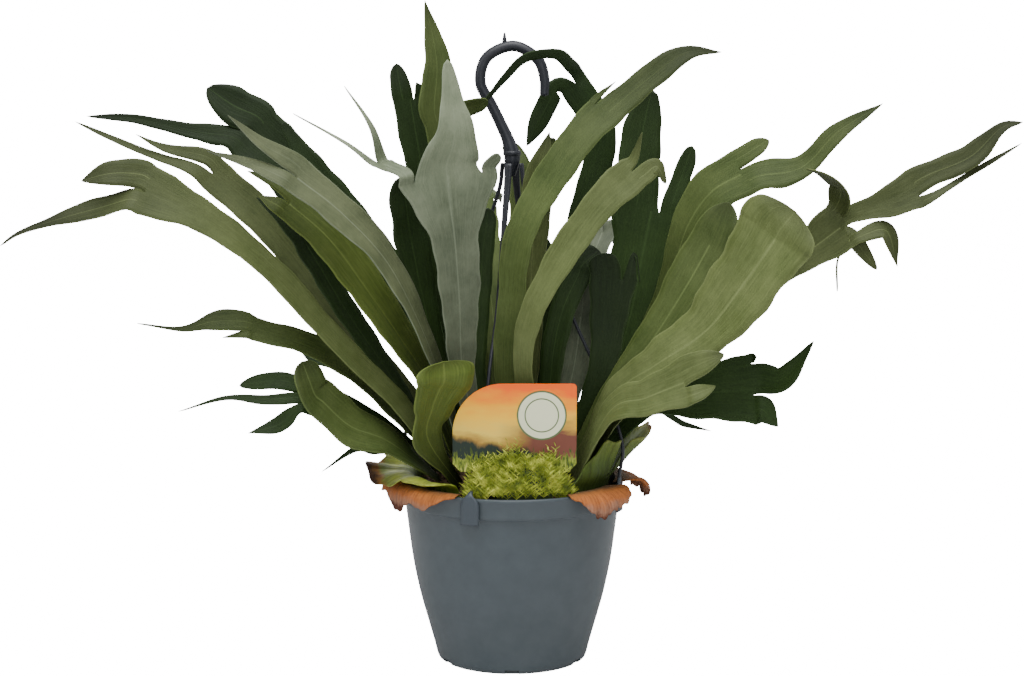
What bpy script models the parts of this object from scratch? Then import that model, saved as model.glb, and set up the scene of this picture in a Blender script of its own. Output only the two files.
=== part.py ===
"""Staghorn fern (Platycerium) in a hanging pot: metres, +Z up, origin at the centre of the pot's base.

The rhizome sits on the bark mix that fills the pot. Antler fronds rise from it, shield fronds
curl over the rim, and a moulded hanger with a hook clips to the rim at four points.
The tables of frond points are in centimetres, in the same frame.
"""

import math

import bmesh
import bpy
import numpy as np
from mathutils import Matrix

CM = 0.01
GAP = 0.0003

POT_HEIGHT = 0.150
RIM_RADIUS = 0.0915
RIM_BAND = 0.016
WALL = 0.0016
BASE_RADIUS = 0.0585
ROUND_STEPS = 48
NOTCHES = 6
NOTCH_SIZE = (0.012, 0.011, 0.005, 1.0)

BARK_TOP = 0.134
CROWN_HALF_LENGTH = 0.076
CROWN_HALF_DEPTH = 0.062
CROWN_RISE = 0.032
CROWN_BASE = 0.136

ANTLER_THICKNESS = 0.0013
SHIELD_THICKNESS = 0.0016
FROND_LIFT = 0.0005

STRAP_ANGLES = (-111, -21, 69, 159)

TAG_THICKNESS = 0.0008
TAG_PLANE = -6.90


def clear_scene():
    for obj in list(bpy.data.objects):
        bpy.data.objects.remove(obj, do_unlink=True)


def material(name, colour, roughness, metallic=0.0):
    made = bpy.data.materials.get(name)
    if made is None:
        made = bpy.data.materials.new(name)
        made.use_nodes = True
        shader = made.node_tree.nodes["Principled BSDF"]
        shader.inputs["Base Color"].default_value = (*colour, 1.0)
        shader.inputs["Roughness"].default_value = roughness
        shader.inputs["Metallic"].default_value = metallic
    return made


def add_mesh(name, verts, faces, looks, smooth=True):
    mesh = bpy.data.meshes.new(name)
    mesh.from_pydata([tuple(v) for v in verts], [], [tuple(f) for f in faces])
    mesh.update()
    mesh.materials.append(looks)
    obj = bpy.data.objects.new(name, mesh)
    bpy.context.scene.collection.objects.link(obj)
    if smooth:
        mesh.shade_smooth()
    return obj


def spun(name, profile, looks, steps=ROUND_STEPS):
    """Turns an (r, z) profile that starts and ends on the axis into one closed body."""
    bm = bmesh.new()
    verts = [bm.verts.new((r, 0.0, z)) for r, z in profile]
    edges = [bm.edges.new(pair) for pair in zip(verts[:-1], verts[1:])]
    bmesh.ops.spin(
        bm,
        geom=verts + edges,
        cent=(0, 0, 0),
        axis=(0, 0, 1),
        angle=2 * math.pi,
        steps=steps,
        use_merge=True,
    )
    bmesh.ops.remove_doubles(bm, verts=bm.verts, dist=1e-6)
    bmesh.ops.recalc_face_normals(bm, faces=bm.faces)
    mesh = bpy.data.meshes.new(name)
    bm.to_mesh(mesh)
    bm.free()
    mesh.materials.append(looks)
    mesh.shade_smooth()
    obj = bpy.data.objects.new(name, mesh)
    bpy.context.scene.collection.objects.link(obj)
    return obj


# ---------------------------------------------------------------- pot and bark


def pot():
    """Injection-moulded pot: a slightly bellied wall, a rim band, an inside step and a flat base."""
    outer = [
        (0.0, 0.0),
        (BASE_RADIUS, 0.0),
        (0.0620, 0.003),
        (0.0642, 0.012),
        (0.0723, 0.041),
        (0.0785, 0.066),
        (0.0830, 0.091),
        (0.0883, 0.1325),
        (RIM_RADIUS - 0.0006, POT_HEIGHT - RIM_BAND),
        (RIM_RADIUS, POT_HEIGHT - 0.002),
        (RIM_RADIUS - 0.0006, POT_HEIGHT),
    ]
    inner = [
        (RIM_RADIUS - 0.0030, POT_HEIGHT),
        (RIM_RADIUS - 0.0036, POT_HEIGHT - 0.012),
        (0.0883 - WALL, 0.1325),
        (0.0830 - WALL, 0.091),
        (0.0785 - WALL, 0.066),
        (0.0723 - WALL, 0.041),
        (0.0642 - WALL, 0.012),
        (BASE_RADIUS, 0.003),
        (0.0, 0.003),
    ]
    looks = material("pot_plastic", (0.060, 0.078, 0.090), 0.42)
    body = spun("pot", outer + inner, looks)
    body.data.set_sharp_from_angle(angle=math.radians(40))
    cutter_mesh = bpy.data.meshes.new("drain_cutter")
    bm = bmesh.new()
    for k in range(NOTCHES):
        turn = Matrix.Rotation(2 * math.pi * (k + 0.5) / NOTCHES, 4, "Z")
        place = turn @ Matrix.Translation((0.0635, 0.0, 0.0015)) @ Matrix.Diagonal(NOTCH_SIZE)
        bmesh.ops.create_cube(bm, size=1.0, matrix=place)
    bm.to_mesh(cutter_mesh)
    bm.free()
    cutter = bpy.data.objects.new("drain_cutter", cutter_mesh)
    bpy.context.scene.collection.objects.link(cutter)
    cutter.hide_render = True
    cutter.display_type = "WIRE"
    cut = body.modifiers.new("drain_notches", "BOOLEAN")
    cut.operation = "DIFFERENCE"
    cut.solver = "EXACT"
    cut.object = cutter


def bark():
    """The mix that fills the pot, a hair clear of its wall and floor."""
    clear = 2 * GAP
    profile = [
        (0.0, 0.003 + GAP),
        (BASE_RADIUS - clear, 0.003 + GAP),
        (0.0642 - WALL - clear, 0.0125),
        (0.0723 - WALL - clear, 0.041),
        (0.0785 - WALL - clear, 0.066),
        (0.0830 - WALL - clear, 0.091),
        (0.0883 - WALL - clear, 0.1320),
        (0.0835, BARK_TOP + 0.0010),
        (0.0400, BARK_TOP + 0.0016),
        (0.0, BARK_TOP + 0.0016),
    ]
    return spun("bark_mix", profile, material("bark", (0.075, 0.045, 0.028), 0.95), steps=32)


def dome(x, y):
    """Height of the rhizome's top above the point (x, y), in metres."""
    inside = 1 - (x / CROWN_HALF_LENGTH) ** 2 - (y / CROWN_HALF_DEPTH) ** 2
    return CROWN_BASE + CROWN_RISE * math.sqrt(max(inside, 0.0))


def rhizome():
    """The short scaly stem: a low dome that carries every frond."""
    rings = 7
    steps = 32
    verts = [(0.0, 0.0, CROWN_BASE + CROWN_RISE)]
    for i in range(1, rings + 1):
        turn = math.pi / 2 * i / rings
        for j in range(steps):
            a = 2 * math.pi * j / steps
            x = CROWN_HALF_LENGTH * math.sin(turn) * math.cos(a)
            y = CROWN_HALF_DEPTH * math.sin(turn) * math.sin(a)
            verts.append((x, y, CROWN_BASE + CROWN_RISE * math.cos(turn)))
    foot = len(verts)
    verts.append((0.0, 0.0, CROWN_BASE))
    faces = [(0, 1 + j, 1 + (j + 1) % steps) for j in range(steps)]
    for i in range(rings - 1):
        a = 1 + i * steps
        b = a + steps
        faces += [(a + j, b + j, b + (j + 1) % steps, a + (j + 1) % steps) for j in range(steps)]
    last = 1 + (rings - 1) * steps
    faces += [(last + (j + 1) % steps, last + j, foot) for j in range(steps)]
    return add_mesh("rhizome", verts, faces, material("rhizome_scales", (0.16, 0.10, 0.055), 0.9))


# ---------------------------------------------------------------- frond geometry

POINTED = (1, 1.0, 0.85, 0.6, 0.32, 0.06)
BLUNT = (1, 1.04, 1.06, 1.02, 0.92, 0.7)
THREAD = (1, 0.72, 0.48, 0.3, 0.18, 0.08)


def unit(v):
    return v / np.maximum(np.linalg.norm(v, axis=-1, keepdims=True), 1e-12)


def blend(values, count):
    """Values at equal steps, joined by a Catmull-Rom curve and read at count places."""
    v = np.asarray(values, float)
    v = v.reshape(len(v), -1)
    ends = np.vstack((2 * v[0] - v[1], v, 2 * v[-1] - v[-2]))
    u = np.linspace(0, len(v) - 1, count)
    i = np.minimum(u.astype(int), len(v) - 2)
    u = (u - i)[:, None]
    a, b, c, d = ends[i], ends[i + 1], ends[i + 2], ends[i + 3]
    cubic = 3 * b - a - 3 * c + d
    return 0.5 * (2 * b + (c - a) * u + (2 * a - 5 * b + 4 * c - d) * u**2 + cubic * u**3)


def smooth_path(points, rows):
    """Curve through the points, read at equal steps of its length, and that length."""
    fine = blend(points, 24 * (len(points) - 1) + 1)
    along = np.concatenate(([0], np.cumsum(np.linalg.norm(np.diff(fine, axis=0), axis=1))))
    at = np.linspace(0, along[-1], rows)
    return np.column_stack([np.interp(at, along, fine[:, k]) for k in range(3)]), along[-1]


def frames(path, side):
    """Along and across directions, carried along the path without spinning."""
    along = unit(np.gradient(path, axis=0))
    across = np.empty_like(path)
    for i, forward in enumerate(along):
        side = unit(side - forward * (side @ forward))
        across[i] = side
    return along, across


def rolled(along, across, degrees):
    """The across directions, turned about the path."""
    angle = np.radians(degrees)[:, None]
    return across * np.cos(angle) + np.cross(along, across) * np.sin(angle)


def ease(q):
    q = np.clip(q, 0.0, 1.0)
    return q * q * (3 - 2 * q)


def tip(share, points, shape=POINTED):
    """A lobe that ends: its share of the fork, the points it runs through and its outline."""
    return {"share": share, "points": points, "shape": shape, "lobes": ()}


def arm(share, points, half, lobes):
    """A lobe that forks again; half is its half-width there."""
    return {"share": share, "points": points, "half": half, "lobes": lobes}


def ordered(lobes, centre, across):
    """The lobes from one edge of the blade to the other, by where each one heads."""
    return sorted(lobes, key=lambda b: float((np.array(b["points"][0]) - centre) @ across))


def end_count(lobes):
    return sum(end_count(b["lobes"]) if b["lobes"] else 1 for b in lobes)


def end_shares(lobes):
    """Each lobe end's part of the blade's width."""
    found = []
    for b in lobes:
        inner = end_shares(b["lobes"]) if b["lobes"] else [1.0]
        found += [b["share"] * part / sum(inner) for part in inner]
    return found


class Sheet:
    """A frond's middle surface: a trunk that widens to its fork, and lobes that grow from that row."""

    def __init__(self, columns, trunk_rows, lobe_rows, notch=0.16):
        self.columns = columns
        self.trunk_rows = trunk_rows
        self.lobe_rows = lobe_rows
        self.notch = notch
        self.verts = []
        self.faces = []

    def row(self, points):
        start = len(self.verts)
        self.verts.extend(points)
        return list(range(start, start + len(points)))

    def skin(self, rows):
        for a, b in zip(rows[:-1], rows[1:]):
            for j in range(len(a) - 1):
                if b[j] == b[j + 1]:
                    self.faces.append((a[j], a[j + 1], b[j]))
                else:
                    self.faces.append((a[j], a[j + 1], b[j + 1], b[j]))

    def trunk(self, points, azimuth, roll, halves, lobes):
        count = self.trunk_rows
        path, _ = smooth_path(points, count)
        side = np.array((-math.sin(azimuth), math.cos(azimuth), 0.0))
        along, across = frames(path, side)
        q = np.linspace(0, 1, count)
        across = rolled(along, across, roll[0] + (roll[1] - roll[0]) * q)
        lobes = ordered(lobes, path[-1], across[-1])
        parts = np.array(end_shares(lobes))
        cuts = np.concatenate(([0], np.cumsum(parts / parts.sum())))
        places = [np.linspace(a, b, self.columns, endpoint=False) for a, b in zip(cuts[:-1], cuts[1:])]
        places = 2 * np.concatenate(places + [[1.0]]) - 1
        half = blend(halves, count)[:, 0]
        foot = path[0] + half[0] * places[:, None] * across[0]
        need = max(dome(x * CM, y * CM) / CM - z for x, y, z in foot) + FROND_LIFT / CM
        rows = []
        for i in range(count):
            raised = path[i] + np.array((0, 0, need * (1 - q[i]) ** 3))
            rows.append(self.row(raised + half[i] * places[:, None] * across[i]))
        self.skin(rows)
        self.split(rows[-1], lobes, along[-1], across[-1])

    def split(self, row, lobes, along, across):
        start = 0
        for k, lobe in enumerate(lobes):
            width = self.columns * (end_count(lobe["lobes"]) if lobe["lobes"] else 1)
            mine = row[start : start + width + 1]
            start += width
            self.lobe(mine, lobe, along, across, k > 0, k < len(lobes) - 1)

    def lobe(self, row, lobe, along0, across0, pull_low, pull_high):
        base = np.array([self.verts[i] for i in row])
        middle = (base[0] + base[-1]) / 2
        half0 = np.linalg.norm(base[-1] - base[0]) / 2
        places = (base - base[0]) @ across0
        places = places / places[-1]
        goal = np.array(lobe["points"], float)
        lead = middle + along0 * 0.3 * np.linalg.norm(goal[0] - middle)
        count = self.lobe_rows
        path, _ = smooth_path(np.vstack((middle, lead, goal)), count)
        along, across = frames(path, across0)
        q = np.linspace(0, 1, count)
        forks = bool(lobe["lobes"])
        if forks:
            half = half0 + (lobe["half"] - half0) * q
        else:
            half = half0 * blend(lobe["shape"], count)[:, 0] * np.sqrt(1 - q**12)
        pull = self.notch * (1 - np.exp(-q / 0.12)) * (1 - q if forks else 1)
        rows = [row]
        for i in range(1, count):
            turn = ease(q[i] / 0.35)
            direction = unit(across0 * (1 - turn) + across[i] * turn)
            low = -1.0 + (pull[i] if pull_low else 0.0)
            high = 1.0 - (pull[i] if pull_high else 0.0)
            if i == count - 1 and not forks:
                rows.append(self.row([path[i]]) * len(row))
            else:
                spread = (low + (high - low) * places) * half[i]
                rows.append(self.row(path[i] + spread[:, None] * direction))
        self.skin(rows)
        if forks:
            self.split(rows[-1], ordered(lobe["lobes"], path[-1], direction), along[-1], direction)


def solid_sheet(name, verts, faces, looks, thickness):
    obj = add_mesh(name, verts, faces, looks)
    shell = obj.modifiers.new("thickness", "SOLIDIFY")
    shell.thickness = thickness
    shell.offset = 0.0
    return obj


def antler(name, root, via, roll, halves, lobes, looks, azimuth=None):
    """One antler frond: root on the rhizome, points to the fork, roll there, half-widths, lobes."""
    start = (root[0], root[1], dome(root[0] * CM, root[1] * CM) / CM)
    points = [start, *via]
    if azimuth is None:
        azimuth = math.degrees(math.atan2(via[-1][1] - start[1], via[-1][0] - start[0]))
    sheet = Sheet(columns=1, trunk_rows=7, lobe_rows=5)
    sheet.trunk(points, math.radians(azimuth), roll, halves, lobes)
    return solid_sheet(name, np.array(sheet.verts) * CM, sheet.faces, looks, ANTLER_THICKNESS)


FELTED = ("frond_felted", (0.105, 0.150, 0.085), 0.62)
GREEN = ("frond_green", (0.060, 0.125, 0.035), 0.55)
SHADE = ("frond_shaded", (0.022, 0.055, 0.020), 0.55)
OLIVE = ("frond_olive", (0.120, 0.140, 0.050), 0.60)
YOUNG = ("frond_young", (0.140, 0.220, 0.050), 0.50)

LEFT_FRONDS = (
    ("antler_left_1", (-6.2, 0.5), [(-9.0, -0.6, 17.4), (-11.5, -1.2, 17.6)], (-40, -60),
     (0.4, 0.45), [tip(1, [(-15.5, -2.0, 15.9)], THREAD)], SHADE, None),
    ("antler_left_2", (-5.8, -2.6), [(-9.8, -5.6, 19.0), (-12.7, -7.5, 20.6), (-14.8, -8.7, 22.8)],
     (-30, -66), (0.6, 1.3, 1.9, 1.9),
     [tip(1, [(-16.3, -9.2, 26.0)], (1, 0.96, 0.88, 0.76, 0.55))], GREEN, None),
    ("antler_left_3", (-5.8, -1.0), [(-10.5, -3.8, 20.0), (-14.0, -5.4, 22.0), (-16.0, -6.2, 22.6)],
     (-40, -66), (0.5, 0.7, 1.0, 1.5),
     [tip(0.30, [(-18.6, -6.8, 20.6), (-20.8, -7.2, 20.0)], (0.8, 1.0, 1.7, 1.7, 0.9, 0.1)),
      tip(0.30, [(-19.6, -6.8, 22.6), (-22.6, -7.2, 22.8), (-26.2, -7.6, 21.8)],
          (1, 1.2, 1.0, 0.55, 0.3, 0.1)),
      tip(0.40, [(-18.6, -6.2, 24.0), (-21.6, -6.0, 23.6)], (1, 1.2, 1.3, 1.1, 0.6))], SHADE, None),
    ("antler_left_4", (-5.4, 0.0), [(-9.6, -3.0, 21.6), (-13.0, -4.2, 24.9), (-16.5, -5.2, 26.9),
                                     (-20.3, -6.0, 28.1)], (-40, -62), (0.7, 1.4, 1.4, 1.1, 1.0),
     [tip(0.35, [(-22.8, -6.4, 27.5)]),
      tip(0.65, [(-23.6, -6.4, 28.7), (-26.0, -6.6, 28.2), (-29.4, -7.0, 28.7)],
          (1, 1.5, 1.4, 0.7, 0.3, 0.15, 0.1))], GREEN, None),
    ("antler_left_5", (-4.6, -3.4), [(-8.6, -5.4, 21.6), (-13.5, -7.0, 27.0), (-19.0, -8.2, 33.4),
                                      (-23.8, -9.0, 37.2), (-28.0, -9.4, 39.2)],
     (-40, -66), (0.7, 1.0, 1.05, 1.1, 1.2, 2.1),
     [tip(0.46, [(-31.2, -9.8, 38.1), (-34.4, -10.0, 37.2), (-37.6, -10.2, 36.1),
                 (-39.1, -10.4, 35.1)], (1, 1.1, 0.95, 0.5, 0.25, 0.12)),
      tip(0.54, [(-30.6, -9.7, 40.5), (-32.9, -9.8, 40.0)], (1, 1.12, 1.12, 0.95, 0.6, 0.15))],
     OLIVE, None),
    ("antler_left_6", (-4.4, 1.7), [(-9.0, 0.9, 22.4), (-13.8, -0.8, 28.3), (-17.7, -1.2, 33.6),
                                     (-20.6, -1.5, 37.1), (-24.0, -1.8, 40.0)],
     (-45, -70), (0.6, 0.8, 1.0, 1.3, 1.5, 1.45),
     [tip(0.55, [(-29.6, -2.0, 42.0), (-34.8, -2.2, 44.3)], (1, 0.7, 0.5, 0.4, 0.3, 0.12)),
      tip(0.45, [(-27.8, -2.0, 42.2), (-30.0, -2.2, 43.3)])], OLIVE, None),
    ("antler_left_7", (-3.2, 2.6), [(-7.6, 4.6, 26.0), (-14.3, 4.2, 34.7), (-18.2, 4.0, 40.0),
                                     (-21.2, 4.0, 43.0)], (-50, -75), (0.6, 1.1, 1.6, 2.1, 2.5),
     [tip(0.45, [(-26.4, 3.6, 43.4), (-31.0, 3.4, 44.4), (-35.0, 3.2, 44.6)],
          (1, 0.85, 0.55, 0.4, 0.3, 0.12)),
      tip(0.55, [(-23.2, 4.2, 45.4), (-25.2, 4.2, 46.9)], (1, 1.2, 1.3, 1.05, 0.5))], SHADE, None),
    ("antler_left_8", (-3.4, -4.2), [(-5.4, -5.8, 23.2), (-7.3, -7.4, 28.8), (-9.8, -8.4, 33.8),
                                      (-13.2, -9.1, 37.6), (-16.4, -9.6, 40.2)],
     (-30, -62), (0.6, 0.9, 1.1, 1.35, 1.6, 1.7),
     [tip(0.5, [(-19.8, -9.9, 41.3), (-23.2, -10.2, 42.3)]),
      tip(0.5, [(-19.2, -9.7, 42.9), (-21.6, -9.9, 45.0)])], FELTED, None),
    ("antler_left_9", (-4.2, -2.0), [(-6.6, -3.4, 23.1), (-8.9, -4.4, 27.2), (-11.9, -5.2, 31.8),
                                      (-14.5, -5.8, 35.4), (-17.4, -6.2, 38.0)],
     (-35, -60), (0.6, 1.2, 1.6, 2.0, 2.0, 1.7),
     [tip(0.5, [(-19.8, -6.6, 38.7)]), tip(0.5, [(-20.6, -6.5, 40.6)])], YOUNG, None),
    ("antler_left_10", (-5.2, -1.8), [(-9.4, -2.6, 23.2), (-13.1, -3.4, 29.0), (-16.2, -4.0, 34.4)],
     (-40, -60), (0.5, 0.8, 1.1, 1.2), [tip(1, [(-20.2, -4.4, 38.4)])], SHADE, None),
    ("antler_left_11", (-2.4, 1.2), [(-6.0, 1.4, 25.6), (-11.2, 1.4, 34.0), (-14.8, 1.2, 38.6)],
     (-60, -80), (0.5, 1.0, 1.2, 1.2), [tip(1, [(-18.7, 1.0, 44.2)], (1, 0.95, 0.85, 0.6, 0.4, 0.3))],
     SHADE, None),
)

CENTRE_FRONDS = (
    ("antler_centre_1", (-1.6, -4.6), [(-3.8, -5.5, 23.8), (-4.1, -7.3, 30.4), (-4.4, -8.4, 35.2),
                                        (-4.7, -8.9, 38.0), (-4.9, -9.2, 40.2)],
     (-60, -86), (0.6, 0.9, 1.3, 1.8, 2.1, 4.0),
     [arm(0.15, [(-9.8, -9.0, 41.2)], 0.8,
          [tip(0.5, [(-12.8, -8.8, 42.9), (-16.8, -8.4, 45.1)], THREAD),
           tip(0.5, [(-10.8, -9.2, 44.2), (-12.8, -9.0, 47.2)], (1, 1.1, 0.8, 0.5, 0.25, 0.1))]),
      tip(0.70, [(-4.4, -9.8, 43.6), (-4.9, -9.9, 49.2)], (1, 1.0, 0.7, 0.44, 0.3, 0.24)),
      tip(0.15, [(-1.0, -8.4, 42.0)], BLUNT)], FELTED, 200),
    ("antler_centre_2", (-1.2, -1.2), [(-3.0, -2.6, 27.0), (-4.2, -3.6, 36.0), (-5.2, -4.2, 44.2)],
     (-70, -86), (0.6, 0.9, 1.2, 1.9),
     [tip(0.6, [(-5.8, -4.4, 49.0), (-6.8, -4.5, 53.8)], (1, 1.25, 1.2, 0.9, 0.5, 0.1)),
      tip(0.4, [(-1.9, -4.0, 46.0)], BLUNT)], GREEN, 200),
    ("antler_centre_3", (-2.6, -0.2), [(-5.0, -0.2, 28.0), (-6.8, -0.2, 37.6), (-8.2, -0.2, 46.0)],
     (-70, -86), (0.5, 0.9, 1.2, 1.45),
     [tip(0.6, [(-9.3, -0.2, 48.9)], (1, 1.1, 1.0, 0.8, 0.4)),
      tip(0.4, [(-7.7, -0.2, 47.4)], (1, 1.0, 0.8, 0.5, 0.1))], SHADE, 190),
    ("antler_centre_4", (-3.4, -2.9), [(-5.8, -4.0, 24.4), (-7.0, -4.6, 30.0), (-7.9, -5.2, 34.8)],
     (-60, -80), (0.5, 0.8, 1.2, 1.6), [tip(1, [(-8.6, -6.2, 40.2)], BLUNT)], SHADE, None),
    ("antler_centre_5", (-0.6, -2.6), [(-2.9, -3.2, 23.6), (-2.7, -3.3, 28.5), (-2.4, -3.3, 33.0)],
     (-70, -86), (0.5, 0.8, 0.9, 0.85), [tip(1, [(-1.9, -3.2, 37.5)], BLUNT)], SHADE, 190),
    ("antler_centre_6", (1.6, 2.2), [(4.2, 3.0, 30.0), (6.8, 3.2, 39.4), (7.2, 3.0, 43.6),
                                      (5.2, 2.6, 47.0)], (-90, -80), (0.5, 0.9, 1.2, 1.3, 1.3),
     [tip(0.45, [(4.6, 0.6, 48.8), (3.5, -1.1, 49.6), (1.1, -1.5, 49.3), (-0.5, -1.3, 47.8),
                (-1.8, -1.2, 46.3), (-2.9, -1.4, 45.1)], (1, 1.0, 0.9, 0.75, 0.5, 0.3)),
      tip(0.55, [(3.6, 2.4, 47.0), (2.4, 2.2, 44.8), (1.2, 2.0, 42.2)], (1, 1.2, 1.3, 1.3, 1.0, 0.3))],
     SHADE, 0),
    ("antler_centre_7", (0.3, -4.3), [(-0.45, -4.5, 24.5), (0.0, -5.0, 30.4), (0.6, -5.2, 35.4),
                                       (2.8, -4.8, 39.5), (5.1, -4.2, 42.8), (7.2, -3.6, 45.0)],
     (60, 70), (0.6, 0.9, 1.1, 1.2, 1.3, 1.4, 1.5),
     [tip(0.82, [(10.3, -3.2, 47.4), (13.6, -2.8, 49.7), (16.6, -2.4, 49.8)],
          (1, 1.0, 0.95, 0.8, 0.45, 0.08)),
      tip(0.18, [(8.2, -3.2, 47.5)], POINTED)], GREEN, 0),
    ("antler_centre_8", (2.2, -4.3), [(0.9, -5.9, 24.7), (1.5, -6.9, 29.3), (3.3, -7.4, 33.0),
                                       (5.1, -7.2, 35.8), (7.2, -6.8, 38.4), (9.4, -6.4, 40.4)],
     (70, 70), (0.6, 0.7, 0.8, 0.95, 1.15, 1.3, 1.45),
     [tip(0.55, [(11.3, -6.4, 41.0), (12.0, -6.4, 39.6)], (1, 1.1, 0.9, 0.5, 0.3)),
      tip(0.45, [(10.1, -6.6, 43.6)], (1, 0.7, 0.5, 0.3, 0.12))], OLIVE, 0),
    ("antler_centre_9", (3.4, 1.2), [(8.0, 1.8, 22.6), (9.7, 2.2, 27.8), (10.7, 2.5, 32.8),
                                      (11.5, 2.6, 36.8)], (80, 86), (0.7, 1.2, 1.8, 2.4, 3.2),
     [tip(0.12, [(15.2, 2.6, 38.2)]), tip(0.28, [(14.0, 2.7, 39.8), (14.8, 2.7, 42.2)], BLUNT),
      tip(0.6, [(10.6, 2.8, 41.8), (11.5, 2.8, 46.8)], (1, 0.95, 0.95, 0.9, 0.75, 0.5))], SHADE, 0),
    ("antler_centre_10", (4.4, -1.2), [(7.0, -3.6, 24.1), (7.8, -3.6, 29.0), (8.0, -3.6, 31.8)],
     (80, 86), (0.5, 0.8, 1.2, 1.9),
     [tip(0.3, [(9.8, -3.6, 33.8), (10.2, -3.8, 31.6)], THREAD), tip(0.7, [(7.2, -3.6, 33.9)], BLUNT)],
     SHADE, 0),
    ("antler_centre_11", (2.8, -2.0), [(3.2, -2.5, 24.5), (4.0, -2.7, 29.0), (5.4, -2.4, 32.2)],
     (70, 80), (0.5, 0.8, 1.0, 1.1), [tip(1, [(7.0, -2.0, 34.0)], BLUNT)], SHADE, 0),
    ("antler_centre_12", (3.2, -0.6), [(5.0, -0.6, 24.0), (5.6, -0.6, 28.4)], (80, 86),
     (0.5, 1.0, 1.7), [tip(1, [(5.4, -0.6, 31.6)], BLUNT)], FELTED, 0),
    ("antler_centre_13", (0.8, -0.8), [(1.4, -1.2, 26.0), (1.6, -1.6, 33.0), (2.0, -2.0, 38.5)],
     (70, 80), (0.5, 0.9, 1.2, 1.2), [tip(1, [(3.0, -2.2, 43.5)])], OLIVE, 0),
    ("antler_centre_14", (1.4, 0.6), [(2.4, 0.8, 24.0), (2.6, 1.0, 30.0)], (70, 80),
     (0.5, 0.9, 1.1), [tip(1, [(2.2, 1.2, 35.0)], BLUNT)], SHADE, 0),
    ("antler_centre_15", (-4.2, -4.3), [(-6.6, -7.8, 19.6), (-6.2, -8.6, 22.2), (-5.6, -9.0, 23.8)],
     (-60, -84), (0.5, 0.8, 1.7, 2.7),
     [tip(1, [(-5.3, -9.3, 26.0)], (1, 1.04, 1.08, 1.06, 0.84))], YOUNG, 200),
)

RIGHT_FRONDS = (
    ("antler_right_1", (4.8, -3.7), [(8.1, -5.6, 22.6), (11.3, -7.7, 25.5), (15.0, -9.3, 28.4),
                                      (17.9, -10.4, 32.4), (20.0, -10.8, 35.6)],
     (50, 72), (0.7, 1.1, 1.5, 2.2, 2.9, 3.4),
     [tip(1, [(21.5, -11.1, 37.8)], (1, 0.99, 0.95, 0.84, 0.4))], OLIVE, None),
    ("antler_right_2", (4.3, -2.3), [(8.5, -4.7, 23.6), (11.0, -5.8, 27.1), (13.4, -6.6, 31.1),
                                      (15.4, -7.0, 34.8)], (60, 76), (0.6, 0.9, 1.3, 1.8, 2.0),
     [tip(1, [(16.9, -7.2, 38.2)], (1, 0.98, 0.88, 0.66, 0.25))], GREEN, None),
    ("antler_right_3", (4.0, -0.2), [(8.2, -1.0, 23.0), (10.5, -1.6, 27.0), (12.6, -2.4, 31.5),
                                      (14.0, -3.2, 36.0), (15.8, -3.8, 38.8), (18.1, -4.2, 40.2)],
     (60, 70), (0.5, 0.5, 0.55, 0.6, 1.1, 1.7, 2.1),
     [tip(0.6, [(22.8, -4.8, 40.9), (25.5, -5.0, 43.6), (29.0, -5.2, 45.8)],
          (1, 1.1, 0.8, 0.75, 0.45, 0.12)),
      tip(0.4, [(20.3, -4.0, 42.9)], (1, 1.08, 1.05, 0.85, 0.4))], GREEN, None),
    ("antler_right_4", (5.4, -1.5), [(9.3, -4.8, 22.3), (15.0, -6.4, 27.4), (19.3, -7.0, 31.4),
                                      (23.4, -7.8, 34.7), (25.4, -8.2, 36.3)],
     (55, 72), (0.7, 0.9, 1.0, 1.0, 1.1, 2.0),
     [tip(0.06, [(25.2, -8.6, 33.9), (25.2, -8.6, 31.4)], (1, 1.0, 0.8, 0.8, 0.6)),
      tip(0.18, [(26.6, -8.8, 35.2), (28.2, -8.8, 33.1)], (1, 1.8, 2.1, 1.9, 1.3, 0.6)),
      tip(0.20, [(28.8, -9.2, 36.2), (29.7, -9.2, 33.4)], (1, 1.6, 2.1, 2.0, 1.2, 0.1)),
      arm(0.30, [(28.9, -9.0, 38.3), (30.8, -9.4, 39.3)], 1.6,
          [tip(0.3, [(35.0, -9.8, 40.6), (38.8, -10.0, 42.9)], (1, 0.7, 0.5, 0.45, 0.35, 0.12)),
           tip(0.7, [(35.0, -9.8, 41.8), (37.2, -10.0, 44.0), (38.8, -10.2, 44.5)],
               (1, 1.0, 0.95, 0.8, 0.5, 0.15))]),
      tip(0.26, [(25.3, -9.0, 39.3), (23.9, -9.0, 40.5), (22.6, -9.0, 40.9)],
          (1, 2.4, 2.7, 2.3, 1.3, 0.2))], OLIVE, None),
    ("antler_right_5", (6.0, -0.6), [(10.8, -2.4, 21.4), (14.6, -4.0, 22.6), (19.2, -5.0, 23.2)],
     (50, 72), (0.6, 1.0, 1.8, 3.0),
     [tip(0.42, [(21.2, -5.4, 20.2)], (1, 0.9, 0.72, 0.42, 0.1)),
      tip(0.43, [(21.6, -5.8, 24.2), (23.8, -6.2, 27.2)], (1, 1.0, 0.8, 0.45, 0.12)),
      tip(0.15, [(19.4, -5.2, 25.8)], (1, 1.0, 0.8, 0.5, 0.12))], SHADE, None),
    ("antler_right_6", (6.2, 1.0), [(8.8, 0.6, 19.8), (11.4, 0.3, 20.9), (13.4, 0.1, 19.9)], (40, 60),
     (0.3, 0.3, 0.3, 0.25), [tip(1, [(16.4, 0.0, 18.9)])], SHADE, None),
    ("antler_right_7", (4.6, -4.7), [(7.6, -7.4, 21.6), (10.4, -9.6, 23.2), (13.2, -10.9, 24.6)],
     (45, 72), (0.4, 0.8, 1.4, 1.9),
     [tip(0.4, [(15.6, -11.4, 24.4)], (1, 0.95, 0.8, 0.5, 0.15)),
      tip(0.6, [(15.2, -11.4, 26.4), (16.2, -11.5, 26.9)], (1, 1.0, 0.9, 0.65, 0.25))], OLIVE, None),
)

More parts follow.
